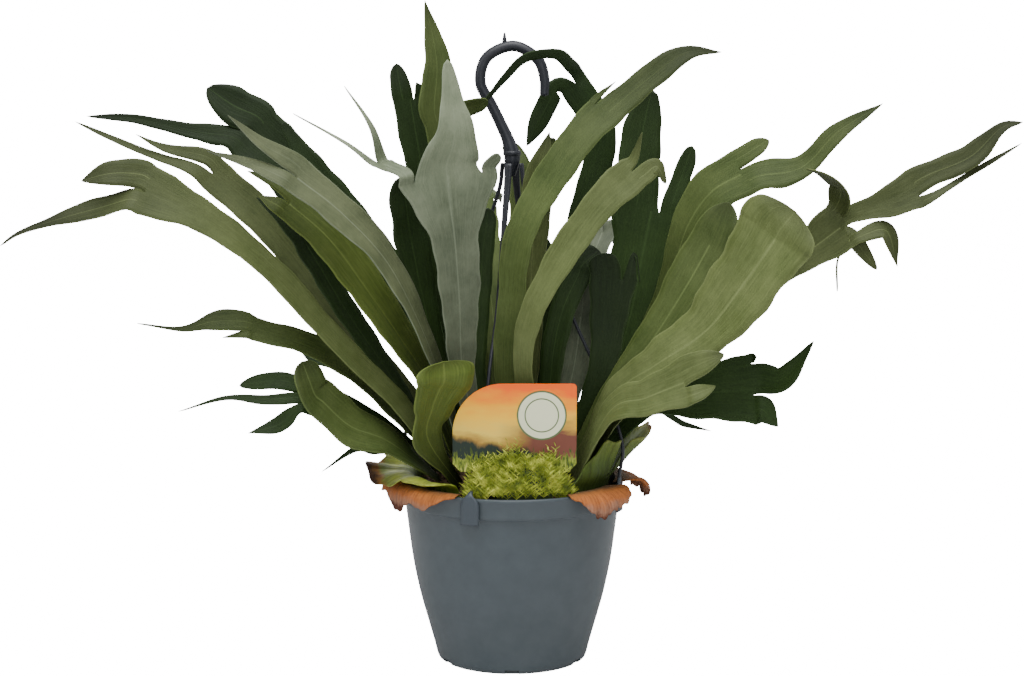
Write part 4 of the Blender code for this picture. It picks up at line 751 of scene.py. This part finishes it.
def frond_material(name, dark, mid, felt, felt_amount):
    """Leathery frond: mid green with darker vein streaks along it, a pale felt that is rubbed
    off in patches, a thin pale margin that is partly felt and partly painted edge highlight, and a
    pale midrib. The blade's stored tone is painted shade and light, darker at both ends of the blade."""
    look = Look(name, mid, 0.6, specular=0.22)
    along_blade, rim = look.blade((7.0, 0.35, 0.0))
    streaks = look.noise(along_blade, 1.0, 4, 0.6)
    where = look.place()
    patches = look.noise(where, 26, 5, 0.65)
    grain = look.noise(where, 700, 2, 0.5)
    low, high = (tuple(0.5 * (a + b) for a, b in zip(mid, other)) for other in (dark, felt))
    body = look.ramp(streaks, [(0.28, low), (0.50, mid), (0.80, high)])
    cover = look.ramp(patches, [(0.33, (0.0,)), (0.68, (1.0,))])
    felted = look.mix(look.mix(felt_amount, (0, 0, 0), cover), body, felt)
    # The stored tone is painted shade and light along the blade, multiplied into its colour.
    tone_and_shade = look.node("Attribute", {}, attribute_name="tone_and_shade").outputs["Color"]
    toned_and_shaded = look.mix(1.0, felted, tone_and_shade, "MULTIPLY")
    # A thin pale line at the margin, partly pale felt and partly painted edge highlight, and a pale line on
    # the midrib.
    edge_highlight_and_midrib = look.ramp(rim, [(0.0, (0.28,)), (0.08, (0.0,)), (0.94, (0.0,)), (1.0, (0.30,))])
    look.paint(look.mix(edge_highlight_and_midrib, toned_and_shaded, tuple(min(1, c * 1.5 + 0.01) for c in felt)))
    look.emboss(look.compute("MULTIPLY_ADD", grain, 0.25, streaks), 0.35, 0.0012)
    return look.material


frond_looks = {
    FELTED: (((0.040, 0.056, 0.034), (0.085, 0.108, 0.068), (0.200, 0.235, 0.165), 0.75),
             ((0.045, 0.062, 0.038), (0.090, 0.112, 0.070), (0.200, 0.230, 0.160), 0.8)),
    GREEN: (((0.018, 0.038, 0.005), (0.046, 0.080, 0.011), (0.130, 0.176, 0.045), 0.5),
            ((0.026, 0.046, 0.009), (0.060, 0.094, 0.018), (0.140, 0.182, 0.056), 0.6)),
    SHADE: (((0.005, 0.013, 0.002), (0.011, 0.030, 0.003), (0.028, 0.060, 0.010), 0.4),
            ((0.007, 0.017, 0.003), (0.015, 0.036, 0.005), (0.034, 0.068, 0.014), 0.5)),
    OLIVE: (((0.030, 0.047, 0.009), (0.074, 0.100, 0.023), (0.170, 0.204, 0.070), 0.6),
            ((0.036, 0.053, 0.012), (0.080, 0.106, 0.028), (0.170, 0.204, 0.078), 0.6)),
    YOUNG: (((0.034, 0.060, 0.006), (0.078, 0.120, 0.014), (0.170, 0.220, 0.045), 0.35),
            ((0.040, 0.066, 0.010), (0.088, 0.130, 0.020), (0.180, 0.225, 0.055), 0.4)),
}
frond_materials = {}
for look, (upper, lower) in frond_looks.items():
    top_side = frond_material(look + "_upper", *upper)
    frond_materials[look] = (top_side, frond_material(look + "_under", *lower))

BLADE_THICKNESS = 0.0010
# How light each frond is painted near its stalk, half way and at its end: painted shade and light, set frond
# by frond.
TONE_AND_SHADE = {
    "antler_left_2": (0.70, 0.75, 0.50),
    "antler_left_4": (0.80, 0.72, 0.30),
    "antler_left_5": (0.75, 0.80, 0.22),
    "antler_left_6": (0.60, 0.55, 0.42),
    "antler_left_7": (0.80, 0.50, 0.42),
    "antler_left_8": (0.50, 0.72, 0.62),
    "antler_left_9": (0.62, 0.95, 0.45),
    "antler_centre_1": (0.62, 0.85, 1.50),
    "antler_centre_2": (0.70, 0.70, 0.60),
    "antler_centre_7": (0.62, 0.75, 0.30),
    "antler_centre_8": (0.70, 0.95, 0.70),
    "antler_centre_9": (1.1, 1.0, 0.7),
    "antler_centre_10": (0.7, 0.45, 0.40),
    "antler_centre_15": (0.22, 0.62, 0.95),
    "antler_right_1": (0.90, 1.0, 0.95),
    "antler_right_2": (0.70, 0.75, 0.60),
    "antler_right_3": (0.60, 0.75, 0.52),
    "antler_right_4": (0.60, 0.60, 0.32),
    "antler_right_5": (0.9, 0.95, 0.9),
    "antler_right_7": (0.75, 0.90, 0.80),
}
PLAIN_TONE_AND_SHADE = (0.60, 0.85, 0.60)
# The share of blue in a tone: less of it in the one frond that has yellowed.
YELLOWED, PLAIN_BLUE = 0.72, 0.95

for number, row in enumerate(LEFT_FRONDS + CENTRE_FRONDS + RIGHT_FRONDS + BACK_FRONDS):
    name, root, via, roll, halves, lobes, look, azimuth = row
    start = (root[0], root[1], float(dome(root[0] * CM, root[1] * CM)) / CM)
    if azimuth is None:
        azimuth = math.degrees(math.atan2(via[-1][1] - start[1], via[-1][0] - start[0]))
    frond = Frond(100 + number, cup=0.10, ripple=0.035)
    frond.trunk([start, *via], math.radians(azimuth), roll, halves, lobes)
    upper, lower = frond_materials[look]
    obj = add_object(name + "_blade", np.array(frond.verts) * CM, frond.faces, upper)
    obj.data.materials.append(lower)
    blade = obj.data.attributes.new("blade", "FLOAT_VECTOR", "POINT")
    marks = np.array(frond.marks, float)
    blade.data.foreach_set("vector", marks.ravel())
    # The blade's painted shade and light, kept as a colour on its points.
    tone_and_shade = obj.data.color_attributes.new("tone_and_shade", "FLOAT_COLOR", "POINT")
    low_tone, middle_tone, end_tone = TONE_AND_SHADE.get(name, PLAIN_TONE_AND_SHADE)
    reach = marks[:, 1] / marks[:, 1].max()
    # Painted shade: the foot of the blade at the rhizome and its very tip are darkened further.
    levels = (0.45 * low_tone, low_tone, middle_tone, end_tone, 0.6 * end_tone)
    shade = np.interp(reach, (0.0, 0.18, 0.55, 0.92, 1.0), levels)
    blue = YELLOWED if name == "antler_left_8" else PLAIN_BLUE
    colours = np.column_stack((shade, shade, shade * blue, np.ones_like(shade)))
    tone_and_shade.data.foreach_set("color", colours.ravel())
    thicken(obj, BLADE_THICKNESS).material_offset = 1
    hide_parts(name)

# ------------------------------------------------------------------ shield fronds
# Round basal fronds press over the bark and curl over the rim. New ones are green and rise;
# old ones are dry, papery and orange-brown, and drape over the band of the rim.


def shield_sheet(profiles, lobing, folds, seed, rows=44, columns=150, slit=None):
    """Point (i, j) is an (r, z) profile at reach i * margin_j, swept to angle j. profiles is a
    list of (angle, profile), blended from one to the next. The margin waves by a sum of sines,
    and folds move each point along its normal by sines that grow towards the margin."""
    start, end = profiles[0][0], profiles[-1][0]
    random = np.random.default_rng(seed)
    degrees = np.linspace(start, end, columns + 1)
    across = (degrees - start) / (end - start)
    count, depth, phase = lobing
    margin = np.sin(math.pi * (0.08 + 0.84 * across)) ** 0.5
    margin *= 1 - depth * (1 + np.sin(2 * math.pi * count * across + phase))
    margin *= 1 - 0.02 * (1 + np.sin(2 * math.pi * 11 * across + 3 * phase))
    places = np.linspace(0, 1, 241)
    reach = np.linspace(0, 1, rows)[:, None] * margin[None]
    if slit is not None:
        open_here = np.clip(1 - (np.abs(degrees - slit) - 2.2) / 1.6, 0, 1)
        squeezed = 0.40 * (1 - (1 - np.linspace(0, 1, rows)[:, None]) ** 2.5)
        reach = reach * (1 - open_here) + np.minimum(squeezed, reach) * open_here
    values = []
    for _, profile in profiles:
        line = smooth_list(profile, 241)
        slope = unit(np.gradient(line, axis=0))
        read = [np.interp(reach, places, v) for v in (line[:, 0], line[:, 1], -slope[:, 1], slope[:, 0])]
        values.append(read)
    radius, height, out_r, out_z = values[0]
    for (here, _), (there, _), after in zip(profiles[:-1], profiles[1:], values[1:]):
        part = ease((degrees - here) / (there - here))[None]
        before = (radius, height, out_r, out_z)
        radius, height, out_r, out_z = (a * (1 - part) + b * part for a, b in zip(before, after))
    shift = np.zeros_like(reach)
    for k in range(5):
        a, b = random.uniform(3, 13), random.uniform(0, 6.28)
        tilt = random.uniform(-3, 3)
        shift += np.sin(a * across[None] * 6.28 * 0.6 + tilt * reach + b) / (1 + 0.35 * k)
    grow = ease((reach - 0.35) / 0.5)
    shift = folds * shift * grow
    radius = radius + shift * out_r
    height = height + shift * out_z
    angle = np.radians(degrees)[None]
    grid = np.stack((radius * np.cos(angle), radius * np.sin(angle), height), -1)
    marks = np.stack((np.broadcast_to(across * 20, reach.shape), reach * 5, reach), -1)
    faces = [
        (a + 1, a, a + columns + 1, a + columns + 2)
        for i in range(rows - 1)
        for a in range(i * (columns + 1), i * (columns + 1) + columns)
    ]
    return grid.reshape(-1, 3) * CM, faces, marks.reshape(-1, 3)


def shield_material(name, stops, rough, mottle):
    """Shield frond: colour runs through the stops with the reach, shifted by mottled noise and
    ribbed by fine streaks that run from the heart to the margin."""
    look = Look(name, stops[1][1], rough, specular=0.25)
    along_blade, reach = look.blade((3.0, 0.5, 0.0))
    ribs = look.noise(along_blade, 1.0, 4, 0.6)
    patches = look.noise(look.place(), 48, 5, 0.65)
    nudge = look.compute("MULTIPLY_ADD", patches, mottle, -mottle / 2)
    run = look.ramp(look.compute("ADD", nudge, reach), stops)
    dark = look.ramp(ribs, [(0.30, (0.62, 0.58, 0.52)), (0.62, (1.12, 1.12, 1.12))])
    look.paint(look.mix(1.0, run, dark, "MULTIPLY"))
    look.emboss(ribs, 0.5, 0.0015)
    return look.material


mature_shield = shield_material("shield_mature", [
    (0.30, (0.030, 0.052, 0.006)), (0.60, (0.060, 0.100, 0.012)), (0.80, (0.115, 0.160, 0.020)),
    (0.90, (0.30, 0.32, 0.09)), (0.95, (0.22, 0.09, 0.020)), (1.00, (0.05, 0.020, 0.008))], 0.6, 0.22)
young_shield = shield_material("shield_young", [
    (0.30, (0.060, 0.100, 0.010)), (0.48, (0.18, 0.25, 0.020)), (0.66, (0.40, 0.46, 0.060)),
    (0.80, (0.22, 0.27, 0.050)), (0.88, (0.26, 0.12, 0.020)), (0.96, (0.05, 0.020, 0.008))], 0.6, 0.34)
papery_shield = shield_material("shield_papery", [
    (0.20, (0.13, 0.070, 0.028)), (0.45, (0.36, 0.12, 0.025)), (0.66, (0.40, 0.13, 0.035)),
    (0.82, (0.32, 0.16, 0.10)), (0.92, (0.10, 0.030, 0.014))], 0.8, 0.6)
INNER = [(7.8, 13.60), (7.92, 14.4), (8.05, 15.3)]
LOW = INNER + [(8.7, 15.80), (9.9, 15.95), (11.0, 15.6), (11.7, 14.9)]
HIGH = INNER + [(8.7, 16.1), (9.8, 17.5), (10.9, 18.6), (11.6, 19.5)]
RISE = INNER + [(8.6, 16.3), (8.9, 17.6), (9.4, 18.9), (9.9, 20.0)]
DROOP = INNER + [(8.7, 15.85), (9.8, 15.80), (10.9, 15.2), (11.6, 14.3)]
CURL = INNER + [(8.7, 15.80), (9.5, 15.75), (10.2, 16.4), (10.4, 17.7)]
SPREAD = INNER + [(8.7, 15.75), (9.8, 15.9), (11.0, 16.1), (12.4, 16.3)]
SHORT = [(8.5, 15.10), (9.2, 15.17), (9.8, 14.90), (10.1, 14.2), (10.0, 12.9)]
WIDE = [(8.5, 15.10), (9.3, 15.19), (10.2, 15.0), (10.8, 14.3), (10.9, 13.0)]
BROAD = [(8.5, 15.10), (9.3, 15.19), (10.4, 15.3), (11.3, 14.9), (11.7, 13.8)]
shield_pieces = (
    ("shield_green_right",
     ((-60, LOW), (-58, LOW), (-49, RISE), (-26, RISE), (-8, HIGH), (60, HIGH)),
     (3, 0.07, 1.0), 0.14, -21),
    ("shield_green_left",
     ((122, SPREAD), (184, SPREAD), (200, DROOP), (212, DROOP), (222, CURL), (238, CURL)),
     (3, 0.07, 0.0), 0.14, 159),
    ("shield_papery_right", ((-61, SHORT), (-42, WIDE), (-27, BROAD)), (2, 0.06, 0.5), 0.10, None),
    ("shield_papery_side", ((-15, BROAD), (8, WIDE), (26, SHORT)), (2, 0.06, 0.5), 0.10, None),
    ("shield_papery_left", ((166, WIDE), (178, WIDE), (200, SHORT), (242, SHORT)),
     (3, 0.08, 2.0), 0.10, None),
    ("shield_papery_back", ((77, SHORT), (110, SHORT), (150, WIDE)), (2, 0.08, 0.0), 0.10, None),
)
for number, (name, profiles, lobing, folds, slit) in enumerate(shield_pieces):
    slot = "shield_green" if "green" in name else "shield_papery"
    look = papery_shield
    if slot == "shield_green":
        look = young_shield if number == 1 else mature_shield
    verts, faces, marks = shield_sheet(profiles, lobing, folds, 40 + number, slit=slit)
    obj = add_object(name + "_blade", verts, faces, look)
    obj.data.attributes.new("blade", "FLOAT_VECTOR", "POINT").data.foreach_set("vector", marks.ravel())
    thicken(obj, BLADE_THICKNESS)
    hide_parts(name)

# ------------------------------------------------------------------ hanger
# One dark plastic moulding: an open hook on a shank, a collar, and four thin straps that bow
# out and clip over the rim with flat tabs.


def hanger_material(name, colour):
    """Smooth dark plastic with a very fine grain."""
    look = Look(name, colour, 0.45)
    look.emboss(look.noise(look.place(), 260, 2), 0.06, 0.0005)
    return look.material


hanger_look = hanger_material("hanger_plastic", (0.010, 0.012, 0.018))
tab_look = hanger_material("hanger_tab", (0.040, 0.053, 0.066))
HOOK_ROWS, HOOK_STEPS, STRAP_ROWS = 133, 20, 120
# The middle line of the hook, up its shank and over: (x, y, z, radius) in centimetres.
stations = [
    (0.0, 0.0, 39.9, 0.30), (0.0, 0.0, 40.9, 0.60), (0.0, 0.0, 41.5, 0.64), (-0.15, 0.0, 42.2, 0.58),
    (-0.5, 0.0, 43.2, 0.48), (-1.6, 0.0, 45.5, 0.44), (-2.55, 0.0, 47.4, 0.44), (-2.0, 0.0, 49.4, 0.44),
    (0.1, 0.0, 50.3, 0.44), (2.0, 0.0, 49.3, 0.44), (2.6, 0.0, 47.8, 0.42), (2.6, 0.0, 46.4, 0.36),
]
line = smooth_list(stations, HOOK_ROWS)
path = line[:, :3] * CM
along, across = carried(path, np.array((0.0, 1.0, 0.0)))
turn = ring_angles(HOOK_STEPS)
normal = np.cross(along, across)
ring = np.cos(turn)[None, :, None] * across[:, None] + np.sin(turn)[None, :, None] * normal[:, None]
verts = (path[:, None] + ring * line[:, None, 3:] * CM).reshape(-1, 3)
verts = np.vstack((verts, path[0] - along[0] * 0.001, path[-1] + along[-1] * 0.0016))
faces = tube_faces(HOOK_ROWS, HOOK_STEPS)
hook = add_object("hanger_hook_bar", verts, faces, hanger_look)
face_out(hook)
collar_line = [(0.0, 0.4150), (0.0064, 0.4150), (0.0071, 0.4156), (0.0073, 0.4172),
               (0.0071, 0.4186), (0.0062, 0.4192), (0.0, 0.4192)]
verts, faces = revolved(collar_line, 32)
add_object("hanger_collar", verts, faces, hanger_look)
verts, faces = revolved([(0.0, 0.0), (0.0022, 0.0), (0.0017, 0.004), (0.0009, 0.0085), (0.0, 0.0095)], 12)
verts = verts + np.array((-0.006, 0, 0.5045))
add_object("hanger_mould_spur", verts, faces, hanger_look)
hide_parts("hanger_hook")

# Each strap line is (r, z, half-width, half-thickness) in centimetres. The front-left strap
# runs behind the tag and over the rim; the other three bow out round the pot.
TAB_RADIUS, TAB_TOP = 9.31, 0.157
TAB = [(TAB_RADIUS, 14.6, 0.75, 0.12), (TAB_RADIUS, 12.9, 0.75, 0.12)]
STRAP_OUTSIDE = [
    (0.80, 40.9, 0.32, 0.12), (1.35, 38.0, 0.26, 0.12), (4.4, 30.4, 0.13, 0.12), (7.7, 23.5, 0.13, 0.12),
    (9.5, 18.6, 0.15, 0.12), (TAB_RADIUS, 15.9, 0.20, 0.12)] + TAB
STRAP_BEHIND_TAG = [
    (0.80, 40.9, 0.32, 0.12), (1.30, 38.0, 0.26, 0.12), (3.1, 30.4, 0.13, 0.12), (4.0, 27.4, 0.13, 0.12),
    (5.2, 24.0, 0.13, 0.12), (6.0, 19.0, 0.13, 0.12), (6.6, 17.1, 0.13, 0.12), (7.4, 16.1, 0.14, 0.12),
    (8.3, 15.65, 0.16, 0.12), (9.20, 15.35, 0.20, 0.12)] + TAB
# The height under which a strap lies flat on the rim band, in centimetres.
FLAT_BEHIND_TAG, FLAT_OUTSIDE = 15.2, 15.8
# A strap's cut: a flat bar with bevelled edges, in half-widths and half-thicknesses.
STRAP_CUT = np.array([(-1, -0.5), (-0.6, -1), (0.6, -1), (1, -0.5), (1, 0.5), (0.6, 1), (-0.6, 1), (-1, 0.5)])
for number, degrees in enumerate((-111, -21, 69, 159), start=1):
    stations, flat = (STRAP_BEHIND_TAG, FLAT_BEHIND_TAG) if number == 1 else (STRAP_OUTSIDE, FLAT_OUTSIDE)
    line = smooth_list(stations, STRAP_ROWS)
    line[:, 0] = np.where(line[:, 1] < flat, TAB_RADIUS, line[:, 0])
    along = unit(np.gradient(line[:, :2], axis=0))
    r = line[:, :1] - STRAP_CUT[:, 1] * line[:, 3:] * along[:, 1:]
    z = line[:, 1:2] + STRAP_CUT[:, 1] * line[:, 3:] * along[:, :1]
    s = STRAP_CUT[:, 0] * line[:, 2:3]
    a = math.radians(degrees)
    grid = np.stack((r * math.cos(a) - s * math.sin(a), r * math.sin(a) + s * math.cos(a), z), -1) * CM
    corners = len(STRAP_CUT)
    faces = ring_quads(STRAP_ROWS, corners)
    faces += [tuple(range(corners))[::-1], tuple(range((STRAP_ROWS - 1) * corners, STRAP_ROWS * corners))]
    verts = grid.reshape(-1, 3)
    strap = add_object(f"hanger_strap_{number}_bar", verts, faces, hanger_look)
    strap.data.materials.append(tab_look)
    for face in strap.data.polygons:
        face.material_index = int(face.center.z < TAB_TOP)
    face_out(strap)
    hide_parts(f"hanger_strap_{number}")

# ------------------------------------------------------------------ picture tag
# A printed plastic card on its own foot, pushed into the bark in front: a sunset over hills
# with a plain cream disc, big round top-left corner.


def tag_material():
    """The print, from X and Z of the card: bands of sky that run from pale yellow to orange and
    red, a mauve haze low on the right, dark hills low on the left, leaves at the foot, and a
    plain cream disc with two thin rings."""
    look = Look("tag_print", (0.8, 0.4, 0.15), 0.45, specular=0.3)
    combine = look.compute
    parts = look.node("SeparateXYZ", {0: look.node("TexCoord", {}).outputs["Object"]}).outputs

    def scaled(output, low, high):
        """The output brought to 0 at low and to 1 at high."""
        inputs = {"Value": output, "From Min": low, "From Max": high}
        return look.node("MapRange", inputs).outputs["Result"]

    def wavy(scale, amount):
        """Noise about zero: the amount times a stretched noise less a half."""
        cloud = look.noise(look.place(scale), 1.0, 5, 0.6)
        return combine("MULTIPLY", combine("SUBTRACT", cloud, 0.5), amount)

    height = scaled(parts["Z"], 0.165, 0.239)
    side = scaled(parts["X"], -0.047, 0.051)
    clouds = wavy((22, 1, 70), 0.45)
    slope = combine("MULTIPLY", combine("SUBTRACT", side, 0.4), 0.12)
    level = combine("ADD", combine("ADD", height, clouds), slope)
    sky = look.ramp(level, [
        (0.20, (0.20, 0.13, 0.05)), (0.34, (0.40, 0.22, 0.04)), (0.46, (0.86, 0.60, 0.09)),
        (0.64, (1.0, 0.56, 0.03)), (0.80, (1.0, 0.38, 0.006)), (0.97, (1.0, 0.13, 0.001))])
    right_side = look.ramp(side, [(0.35, (0.0,)), (0.65, (1.0,))])
    low_band = look.ramp(combine("ADD", height, clouds), [(0.42, (1.0,)), (0.62, (0.0,))])
    haze = look.mix(combine("MULTIPLY", right_side, low_band), sky, (0.17, 0.055, 0.035))
    ridge = combine("ADD", height, wavy((60, 1, 20), 0.35))
    hill_line = combine("ADD", combine("MULTIPLY", side, 0.28), ridge)
    hill = look.ramp(hill_line, [(0.40, (1.0,)), (0.46, (0.0,))])
    land = look.mix(hill, haze, (0.018, 0.032, 0.022))
    blades = look.noise(look.place((420, 1, 130)), 1.0, 3, 0.6)
    leaf_line = combine("ADD", height, combine("MULTIPLY", combine("SUBTRACT", blades, 0.5), 0.55))
    greens = [(0.38, (0.05, 0.08, 0.01)), (0.52, (0.24, 0.30, 0.03)), (0.68, (0.62, 0.62, 0.14))]
    leaf_tone = look.ramp(blades, greens)
    in_leaves = look.ramp(leaf_line, [(0.20, (1.0,)), (0.25, (0.0,))])
    leaves = look.mix(in_leaves, land, leaf_tone)
    dx = combine("SUBTRACT", parts["X"], 0.0235)
    dz = combine("SUBTRACT", parts["Z"], 0.2137)
    away = combine("SQRT", combine("ADD", combine("MULTIPLY", dx, dx), combine("MULTIPLY", dz, dz)))
    disc = scaled(away, 0.0, 0.025)
    mask = look.ramp(disc, [(0.785, (1.0,)), (0.80, (0.0,))])
    cream, ink = (0.78, 0.80, 0.55), (0.10, 0.15, 0.06)
    rings = [(0.0, cream), (0.50, cream), (0.515, ink), (0.54, ink), (0.555, cream),
             (0.73, cream), (0.745, ink), (0.785, ink)]
    ring = look.ramp(disc, rings)
    look.paint(look.mix(mask, leaves, ring))
    return look.material


def round_corner(x, z, radius, start, end, count):
    """Points of an arc about (x, z), from the start angle to the end angle in degrees."""
    angles = np.radians(np.linspace(start, end, count))
    return [(x + radius * math.cos(a), z + radius * math.sin(a)) for a in angles]


left, right, bottom, top, card_foot, stake = -4.7, 5.1, 13.58, 23.9, 16.85, 1.1
BIG_ROUND, SMALL_ROUND = 4.0, 0.3
TAG_PLANE, TAG_HALF = -0.0690, 0.0004
arc = round_corner(left + BIG_ROUND, top - BIG_ROUND, BIG_ROUND, 180, 90, 25)
corner = round_corner(right - SMALL_ROUND, top - SMALL_ROUND, SMALL_ROUND, 90, 0, 6)
outline = arc + corner + [(right, 17.5), (4.5, card_foot), (stake, card_foot), (stake, bottom)]
outline += [(-stake, bottom), (-stake, card_foot), (-4.1, card_foot), (left, 17.5)]
count = len(outline)
verts = [(x * CM, TAG_PLANE + TAG_HALF, z * CM) for x, z in outline]
verts += [(x * CM, TAG_PLANE - TAG_HALF, z * CM) for x, z in outline]
faces = [tuple(range(count)), tuple(range(2 * count - 1, count - 1, -1))]
faces += [(j, j + count, (j + 1) % count + count, (j + 1) % count) for j in range(count)]
tag = add_object("picture_tag_card", verts, faces, tag_material(), smooth=False)
face_out(tag)
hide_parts("picture_tag")

# ------------------------------------------------------------------ moss
# A cushion of loose green moss at the foot of the tag: many short shoots of narrow leaves.


moss_look = mottled("moss_green", (0.18, 0.23, 0.04), 0.8, (110, 4),
                    [(0.32, (0.09, 0.13, 0.012)), (0.48, (0.26, 0.32, 0.020)), (0.66, (0.66, 0.70, 0.11))])
MOSS_MIDDLE, MOSS_HALF = (0.70, -7.75, 15.6), (2.70, 0.78, 2.20)
MOSS_BACK, POT_INSIDE, MOSS_FOOT = -6.99, 8.55, 13.60
MOSS_ROWS, MOSS_STEPS, SHOOT_COUNT, SHOOT_LEAVES = 23, 56, 640, 8
v = np.linspace(-np.pi / 2, np.pi / 2, MOSS_ROWS + 2)[1:-1, None]
u = ring_angles(MOSS_STEPS)[None]
lump = 1 + 0.10 * np.sin(3 * u + 1.0) * np.cos(v) + 0.08 * np.sin(5 * u)
mx = MOSS_MIDDLE[0] + MOSS_HALF[0] * np.cos(u) * np.cos(v)
my = np.minimum(MOSS_MIDDLE[1] + MOSS_HALF[1] * np.sin(u) * np.cos(v) * lump, MOSS_BACK)
mz = MOSS_MIDDLE[2] + 0.8 * MOSS_HALF[2] * np.sin(v) * (0.9 + 0.1 * lump) + 0.25 * np.sin(4 * u) * np.cos(v)
mz = np.maximum(mz, MOSS_FOOT)
reach = np.hypot(mx, my)
inside = np.where((reach > POT_INSIDE) & (mz < 15.4), POT_INSIDE / reach, 1.0)
mx, my = mx * inside, np.minimum(my * inside, MOSS_BACK)
foot_and_top = [(MOSS_MIDDLE[0], MOSS_MIDDLE[1], MOSS_FOOT), (MOSS_MIDDLE[0], MOSS_MIDDLE[1], 17.36)]
verts = np.vstack((np.stack((mx, my, mz), -1).reshape(-1, 3), foot_and_top)) * CM
faces = tube_faces(MOSS_ROWS, MOSS_STEPS)
moss_heart = Look("moss_heart", (0.035, 0.055, 0.010), 0.9)
moss = add_object("moss_cushion_body", verts, faces, moss_heart.material)
face_out(moss)
# Shoots: each is a leaning stem with a spiral of narrow leaves; those at the back are tallest.
moss_rng = np.random.default_rng(5)
leaf_verts, leaf_faces = [], []
for n in range(SHOOT_COUNT):
    along_x = moss_rng.uniform(-1, 1)
    depth = moss_rng.uniform(0, 1) ** 0.8
    x = 0.55 + 3.9 * along_x
    front = -math.sqrt(POT_INSIDE**2 - x * x) - 0.15
    y = MOSS_BACK - 0.2 + (front - MOSS_BACK + 0.2) * depth
    swell = 1 - along_x**4
    root = np.array((x, y, 14.4 + 2.6 * swell * (1 - 0.75 * depth**2) + 0.15 * moss_rng.normal()))
    lean_x = along_x * 0.2 + moss_rng.normal(0, 0.25)
    lean = np.array((lean_x, -0.25 * depth + moss_rng.normal(0, 0.16), 1.0))
    lean = lean / np.linalg.norm(lean)
    tall = moss_rng.uniform(0.5, 1.9) * (1.45 - 0.75 * depth) * (0.75 + 0.25 * math.sin(2.3 * x + 1.2))
    for k in range(SHOOT_LEAVES):
        at = root + lean * tall * (k + 1) / SHOOT_LEAVES
        spin = k * 2.4 + n
        length = moss_rng.uniform(0.45, 0.95) * (1.15 - k / 10)
        out = np.array((math.cos(spin), math.sin(spin) * 0.6, 0.75)) * length
        side = np.cross(out, lean) * 0.13
        base = len(leaf_verts)
        wide = at + out * 0.5
        leaf_verts += [at - side * 0.4, at + side * 0.4, wide + side, at + out, wide - side]
        leaf_faces += [[base + n for n in face] for face in ((0, 1, 2), (0, 2, 4), (4, 2, 3))]
points = np.array(leaf_verts)
points[:, 1] = np.minimum(points[:, 1], MOSS_BACK + 0.02)
leaves = add_object("moss_shoots", points * CM, leaf_faces, moss_look, smooth=False)
thicken(leaves, 0.0002)
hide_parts("moss_cushion")

# ------------------------------------------------------------------ stage
# A white floor, a white surround, soft round lights on every side, and the camera.

FLOOR_GLOW, WORLD_LIGHT, WORLD_SEEN = 16.0, 0.42, 16.5
floor_mesh = bpy.data.meshes.new("floor")
floor_corners = [(-6, -6, -0.0002), (6, -6, -0.0002), (6, 6, -0.0002), (-6, 6, -0.0002)]
floor_mesh.from_pydata(floor_corners, [], [(0, 1, 2, 3)])
floor = placed("floor", floor_mesh)
white = Look("floor_white", (0.62, 0.62, 0.62), 0.9)
camera_ray = white.node("LightPath", {}).outputs["Is Camera Ray"]
white.feed(white.shader.inputs["Emission Color"], (1, 1, 1, 1))
white.feed(white.shader.inputs["Emission Strength"], white.compute("MULTIPLY", camera_ray, FLOOR_GLOW))
floor_mesh.materials.append(white.material)

world = bpy.context.scene.world or bpy.data.worlds.new("studio")
bpy.context.scene.world = world
world.use_nodes = True
nodes, links = world.node_tree.nodes, world.node_tree.links
nodes["Background"].inputs["Color"].default_value = (1, 1, 1, 1)
seen = nodes.new("ShaderNodeLightPath")
brightness = nodes.new("ShaderNodeMapRange")
brightness.inputs["To Min"].default_value = WORLD_LIGHT
brightness.inputs["To Max"].default_value = WORLD_SEEN
links.new(seen.outputs["Is Camera Ray"], brightness.inputs["Value"])
links.new(brightness.outputs["Result"], nodes["Background"].inputs["Strength"])

LIGHTS = (
    ("top", (0.0, -0.7, 2.1), (0.0, 0.0, 0.25), 1.9, 62),
    ("front", (0.4, -2.9, 1.3), (0.0, 0.0, 0.28), 1.4, 16),
    ("left", (-1.9, -0.9, 1.3), (0.0, 0.0, 0.30), 1.2, 12),
    ("right", (2.2, 0.5, 1.2), (0.0, 0.0, 0.30), 1.2, 8),
    ("back", (-0.3, 2.7, 1.3), (0.0, 0.0, 0.28), 1.5, 26),
)
for name, place, aim, size, power in LIGHTS:
    data = bpy.data.lights.new(name, "AREA")
    data.shape = "DISK"
    data.size = size
    data.energy = power
    lamp = placed(name, data)
    lamp.location = place
    toward = Vector(aim) - Vector(place)
    lamp.rotation_euler = toward.to_track_quat("-Z", "Y").to_euler()

camera_data = bpy.data.cameras.new("camera")
camera_data.lens = 73.65
camera_data.sensor_width = 36
camera = placed("camera", camera_data)
camera.location = (0.0, -1.70, 0.49)
camera.rotation_euler = (math.radians(82.5), 0, 0)
bpy.context.scene.camera = camera
